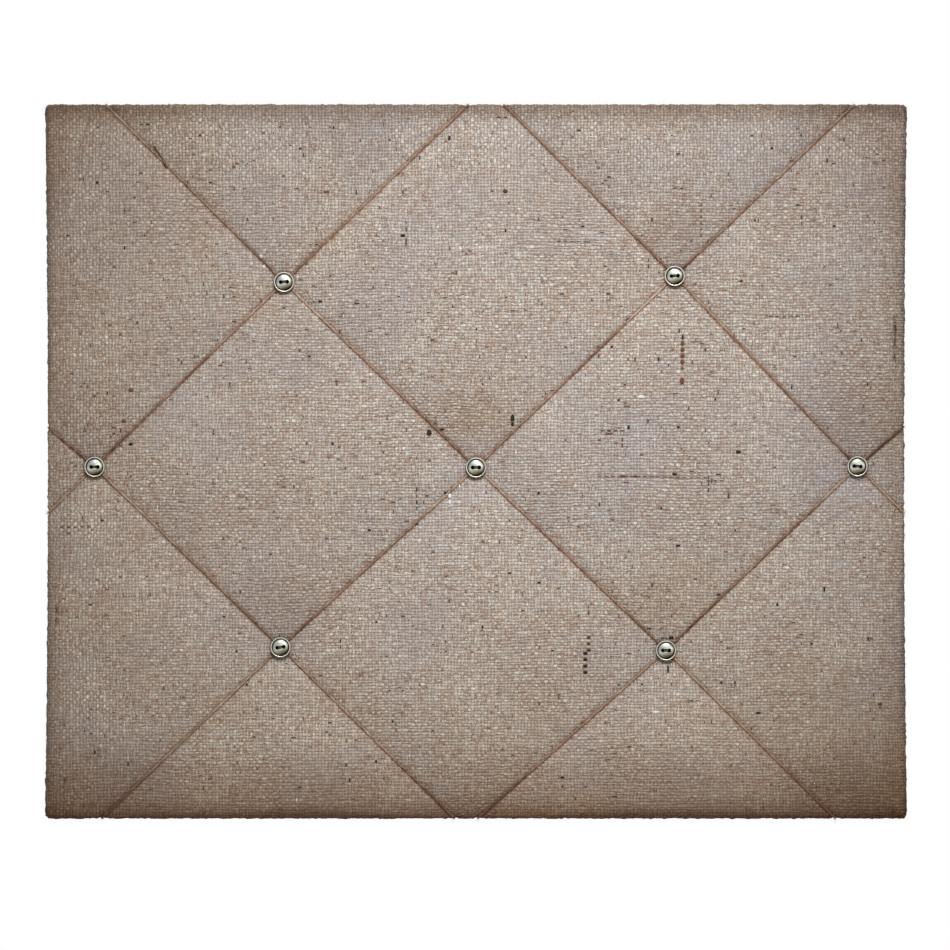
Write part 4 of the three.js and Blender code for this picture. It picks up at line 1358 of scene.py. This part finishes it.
def wadding_mesh():
    roll = EDGE_ROLL - SIDE_DROP
    crown = CROWN + PAD_DROP
    wide, high = PAD_GRID
    levels = []
    for angle in np.linspace(0, math.pi / 2, ROLL_RINGS + 1)[1:]:
        levels.append((SIDE_DROP + roll * (1 - math.sin(angle)), crown + EDGE_ROLL * (1 - math.cos(angle))))
    levels += [(SIDE_DROP, PAD_SIDE), (SIDE_DROP, PAD_END), (PAD_LIP, PAD_END)]
    levels += [(PAD_LIP, PAD_FLOOR), (PAD_SEAT, PAD_FLOOR)]
    gx, gz, edge, shapes = draped(wide, high, levels, EDGE_ROLL)
    creased = np.minimum(np.abs(beside(gx, gz, "falling")), np.abs(beside(gx, gz, "rising")))
    gy = front_level(gx, gz, CROWN) + PAD_DROP + 0.0010 * np.exp(-((creased / 0.008) ** 2))
    points = [np.stack([gx, gy, gz], axis=-1).reshape(-1, 3)]
    for count, (place, flat) in enumerate(shapes):
        y = np.full(len(place), flat)
        if count < ROLL_RINGS:
            y = np.maximum(front_level(place[:, 0], place[:, 1], y - PAD_DROP) + PAD_DROP, y)
        points.append(np.stack([place[:, 0], y, place[:, 1]], axis=1))
    front, strips = grid_faces(wide, high, edge, len(levels))
    total = sum(len(p) for p in points)
    inner = shapes[-1][0]
    shrink = [inner[:, 0].max() / gx.max(), inner[:, 1].max() / gz.max()]
    back = np.stack([gx * shrink[0], np.full_like(gx, PAD_FLOOR), gz * shrink[1]], axis=-1).reshape(-1, 3)
    back_faces = front[:, ::-1] + total
    last_ring = total - len(edge) + np.arange(len(edge))
    back_edge = total + edge[:, 1] * (wide + 1) + edge[:, 0]
    closing = np.stack([last_ring, back_edge, np.roll(back_edge, -1), np.roll(last_ring, -1)], axis=1)
    return np.concatenate([*points, back]), np.concatenate([front, strips, closing, back_faces])


tuft_dark, tuft_pale = paint(226, 222, 213), paint(250, 248, 243)
wadding_paint = speckled("wadding", tuft_dark, tuft_pale, (160.0, 4.0), 1.0, (0.001, 0.5))
pad = make_piece("wadding_filling", *wadding_mesh(), wadding_paint, "wadding")
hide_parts("wadding_pad")
print("wadding of", len(pad.data.polygons), "faces")

# %% [markdown]
# ## The back
# Panel, card, staples, straps and screws keep their CAD shapes, because those are right. They get real
# finishes, and a bevel takes the razor edge off the bent metal.

# %% Finishes of the back
def card_finish():
    finish = new_finish("brown_card")
    place = finish.place()
    pulp = finish.noise(place, 420.0, 5.0, 0.75)
    px, _, pz = finish.split(place)
    fibres = finish.noise(finish.vector(px * 260.0, pz * 1900.0), 1.0, 2.0)
    clouds = finish.noise(place, 9.0, 3.0)
    tone = 0.5 * pulp + 0.25 * fibres + 0.25 * clouds
    colour = finish.ramp(
        tone,
        (0.30, paint(150, 116, 78)),
        (0.50, paint(183, 147, 104)),
        (0.68, paint(204, 171, 128)),
    )
    return finish.shader(base_color=colour, roughness=0.88, normal=finish.bump(pulp + fibres, 0.0002, 0.35))


def metal_finish(name, dull, bright, rough):
    finish = new_finish(name)
    place = finish.place()
    cloudy = finish.noise(place, 240.0, 3.0, 0.6)
    px, py, pz = finish.split(place)
    drawn = finish.noise(finish.vector(px * 300.0, py * 300.0, pz * 5200.0), 1.0, 2.0)
    return finish.shader(
        base_color=finish.mix(cloudy, dull, bright),
        metallic=1.0,
        roughness=rough + 0.2 * cloudy,
        normal=finish.bump(drawn, 0.00003, 0.4),
    )


chip_dark, chip_pale = paint(146, 112, 76), paint(182, 148, 108)
panel = speckled("fibreboard", chip_dark, chip_pale, (700.0, 4.0, 0.7), 0.85, (0.0002, 0.4))
card = card_finish()
brassed = metal_finish("brass_plating", paint(168, 138, 76), paint(222, 196, 132), 0.22)
bright_steel = metal_finish("bright_steel", paint(186, 188, 191), paint(238, 240, 242), 0.20)
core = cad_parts["core_board"]
core.data.materials.clear()
core.data.materials.append(panel)
print("finishes", [finish.name for finish in (panel, card, brassed, bright_steel)])

# %% [markdown]
# ## Worn edges
# Bent sheet, drawn wire and cut card have no razor edges. A copy of each CAD shape is welded, a small bevel
# runs round its edges, and the copy takes the solid's place.

# %% Card, staples, straps and screws
def worn_copy(node, name, finish, bevel):
    work = bmesh.new()
    work.from_mesh(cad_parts[node].data)
    bmesh.ops.remove_doubles(work, verts=work.verts, dist=1e-6)
    bmesh.ops.dissolve_limit(work, angle_limit=math.radians(1), verts=work.verts, edges=work.edges)
    mesh = bpy.data.meshes.new(name)
    work.to_mesh(mesh)
    work.free()
    made = carve(placed("blank", mesh), [], bevel)
    made.materials.clear()
    made.materials.append(finish)
    piece = placed(name, made)
    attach(piece, "board")
    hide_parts(node)


worn_copy("backing_card", "card_back", card, 0.0003)
for node in list(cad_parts):
    if node.startswith("staple_"):
        worn_copy(node, node.replace("staple", "string_staple"), bright_steel, 0.00012)
    elif node.startswith("hanger_screw"):
        worn_copy(node, node.replace("hanger_screw", "pan_screw"), bright_steel, 0.00010)
    elif node.startswith("hanger_strap"):
        worn_copy(node, node.replace("hanger_strap", "folded_strap"), brassed, 0.00012)
staples = [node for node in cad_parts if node.startswith("staple_")]
print("card, straps, screws and", len(staples), "staples with worn edges")

# %% [markdown]
# ## D-rings
# Each ring is one piece of round wire bent to a D. Its ends butt inside the strap, so the straight bar turns
# there like a hinge pin. The ring rides on its own body and swings with it.

# %% D-rings
WIRE = 0.0024
RING_WIDE = 0.016
RING_DEEP = 0.012
RING_BEND = 0.0024
BUTT_GAP = 0.0005


def ring_line():
    """The middle of the wire, from one end of the joint round the bow to the other."""
    half = (RING_WIDE + WIRE) / 2
    straight = RING_DEEP + WIRE - half
    corner = half - RING_BEND
    upper = [(0.0, BUTT_GAP / 2), (0.0, corner)]
    for angle in np.linspace(0.2, 1.57, 6):
        upper.append((RING_BEND * math.cos(angle) - RING_BEND, corner + RING_BEND * math.sin(angle)))
    bow = [(-straight - half * math.sin(a), half * math.cos(a)) for a in np.linspace(0, math.pi, 33)]
    return upper + bow + [(out, -up) for out, up in reversed(upper)]


for name, side in (("left", -1), ("right", 1)):
    low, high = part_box("hanger_ring_" + name)
    hinge_x = low.x + WIRE / 2 if side < 0 else high.x - WIRE / 2
    y, z_mid = (low.y + high.y) / 2, (low.z + high.z) / 2
    way = [(hinge_x + side * out, y, z_mid + side * up) for out, up in ring_line()]
    points, faces = sweep(evenly(way, 0.0006), WIRE / 2, 16)
    ring = make_piece("d_ring_" + name, points, faces, brassed, "hanger_plating", "ring_" + name, sharp=60)
    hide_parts("hanger_ring_" + name)
    print("ring", name, "of", len(ring.data.polygons), "faces")

# %% [markdown]
# ## Hem staples
# An upholsterer pulls the hessian over the back and shoots a staple every few centimetres. They are small
# fasteners, so the CAD leaves them out. Each stands a little askew, as a hand-held gun leaves it.

# %% Hem staples
STAPLE_IN = 0.0385
STAPLE_HALF = 0.005
STAPLE_POINT = -0.0042
STAPLE_WIRE = 0.00034
ALONG_LEVEL = np.arange(-0.20, 0.201, 0.05)
ALONG_SIDE = (-0.175, -0.125, -0.075, -0.030, 0.030, 0.075, 0.118)


def hem_staple(x, z, level_run):
    skew = chance.uniform(-0.16, 0.16)
    run = (math.cos(skew), math.sin(skew)) if level_run else (math.sin(skew), math.cos(skew))
    top = HEM_LEVEL + 0.00055
    leg = [(1, STAPLE_POINT), (1, top - 0.0004), (0.94, top)]
    way = []
    for along, y in [(-along, y) for along, y in leg] + leg[::-1]:
        way.append((x + along * STAPLE_HALF * run[0], y, z + along * STAPLE_HALF * run[1]))
    return sweep(way, STAPLE_WIRE, 8)


hem_parts = []
for x in ALONG_LEVEL:
    for side in (-1, 1):
        shift = chance.uniform(-0.004, 0.004)
        hem_parts.append(hem_staple(x + shift, side * (BOARD_HEIGHT / 2 - STAPLE_IN), True))
for z in ALONG_SIDE:
    for side in (-1, 1):
        shift = chance.uniform(-0.003, 0.003)
        hem_parts.append(hem_staple(side * (BOARD_WIDTH / 2 - STAPLE_IN), z + shift, False))
make_piece("hem_staples", *joined(hem_parts), bright_steel, "steel", sharp=60)
print(len(hem_parts), "hem staples")

# %% [markdown]
# ## Loose fibres
# Jute is hairy. Short fibres stand off the edge of the board, where they show against the white, a few lie
# loose on the front, and the string has a down of its own. Each is a hair of three sides that narrows to its
# tip.

# %% Fibres
EDGE_HAIRS = 1300
FRONT_HAIRS = 900
HAIR_RADIUS = 0.00008
HAIR_LENGTHS = [0.0006, 0.0009, 0.0012, 0.0016, 0.003]
HAIR_SHARES = [0.3, 0.3, 0.22, 0.16, 0.02]


def hair(root, way, length, radius):
    """A bent hair from a root; it starts along way and curls off to one side."""
    curl = chance.standard_normal(3) * 0.45
    steps = np.linspace(0, 1, 4)[:, None]
    line = root + length * (steps * way + steps**2 * curl)
    return sweep(line, radius * (1 - 0.75 * steps[:, 0]), 3)


def fibre_finish(name, dark, pale):
    return speckled(name, dark, pale, (300.0, 2.0), 0.8, specular_ior_level=0.2)


hairs = []
ring_start = (columns + 1) * (rows + 1)
edge_rings = [k for k, arc in enumerate(arcs) if 0.006 < arc < round_the_edge]
for _ in range(EDGE_HAIRS):
    k = chance.choice(edge_rings)
    root = cloth_points[ring_start + k * loop_size + chance.integers(loop_size)]
    out = np.array([root[0] / BOARD_WIDTH, 0, root[2] / BOARD_HEIGHT]) * 2
    out = np.sign(out) * np.abs(out) ** 24
    way = out / np.linalg.norm(out) + 0.7 * chance.standard_normal(3)
    length = chance.choice(HAIR_LENGTHS, p=HAIR_SHARES)
    hairs.append(hair(root, way / np.linalg.norm(way), length, HAIR_RADIUS))
for _ in range(FRONT_HAIRS):
    root = cloth_points[chance.integers(ring_start)]
    turn = chance.uniform(0, 2 * math.pi)
    way = np.array([math.cos(turn), -chance.uniform(0.1, 0.5), math.sin(turn)])
    hairs.append(hair(root, way, chance.uniform(0.0015, 0.005), HAIR_RADIUS))
jute_fibre = fibre_finish("jute_fibre", paint(120, 92, 70), paint(226, 212, 188))
make_piece("hessian_fibres", *joined(hairs), jute_fibre, "hessian")
print(len(hairs), "fibres on the cloth")

# %% [markdown]
# The down of the string is finer and browner. It lies half along the string, as twisted yarn leaves it, and
# leans towards the front, since behind it the string presses on the cloth.

# %% Down of the string
DOWN_SHARE = 1.3
DOWN_RADIUS = 0.00006
down = []
for line in cord_lines.values():
    for _ in range(int(len(line) * DOWN_SHARE)):
        k = chance.integers(2, len(line) - 2)
        ahead = (line[k + 1] - line[k - 1]) / np.linalg.norm(line[k + 1] - line[k - 1])
        aside = chance.standard_normal(3)
        aside -= ahead * (aside @ ahead)
        aside /= np.linalg.norm(aside)
        aside[1] = -abs(aside[1])
        way = 0.7 * aside + chance.choice([-1, 1]) * 0.8 * ahead
        down.append(hair(line[k] + 0.0006 * aside, way, chance.uniform(0.001, 0.0035), DOWN_RADIUS))
string_fibre = fibre_finish("string_fibre", paint(96, 66, 50), paint(176, 142, 114))
make_piece("string_down", *joined(down), string_fibre, "string")
print(len(down), "fibres on the string")

# %% [markdown]
# ## Last
# The box of the dressed model is printed.

# %% Finish
low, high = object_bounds()
print("visual box", [round(v, 4) for v in (*low, *high)])
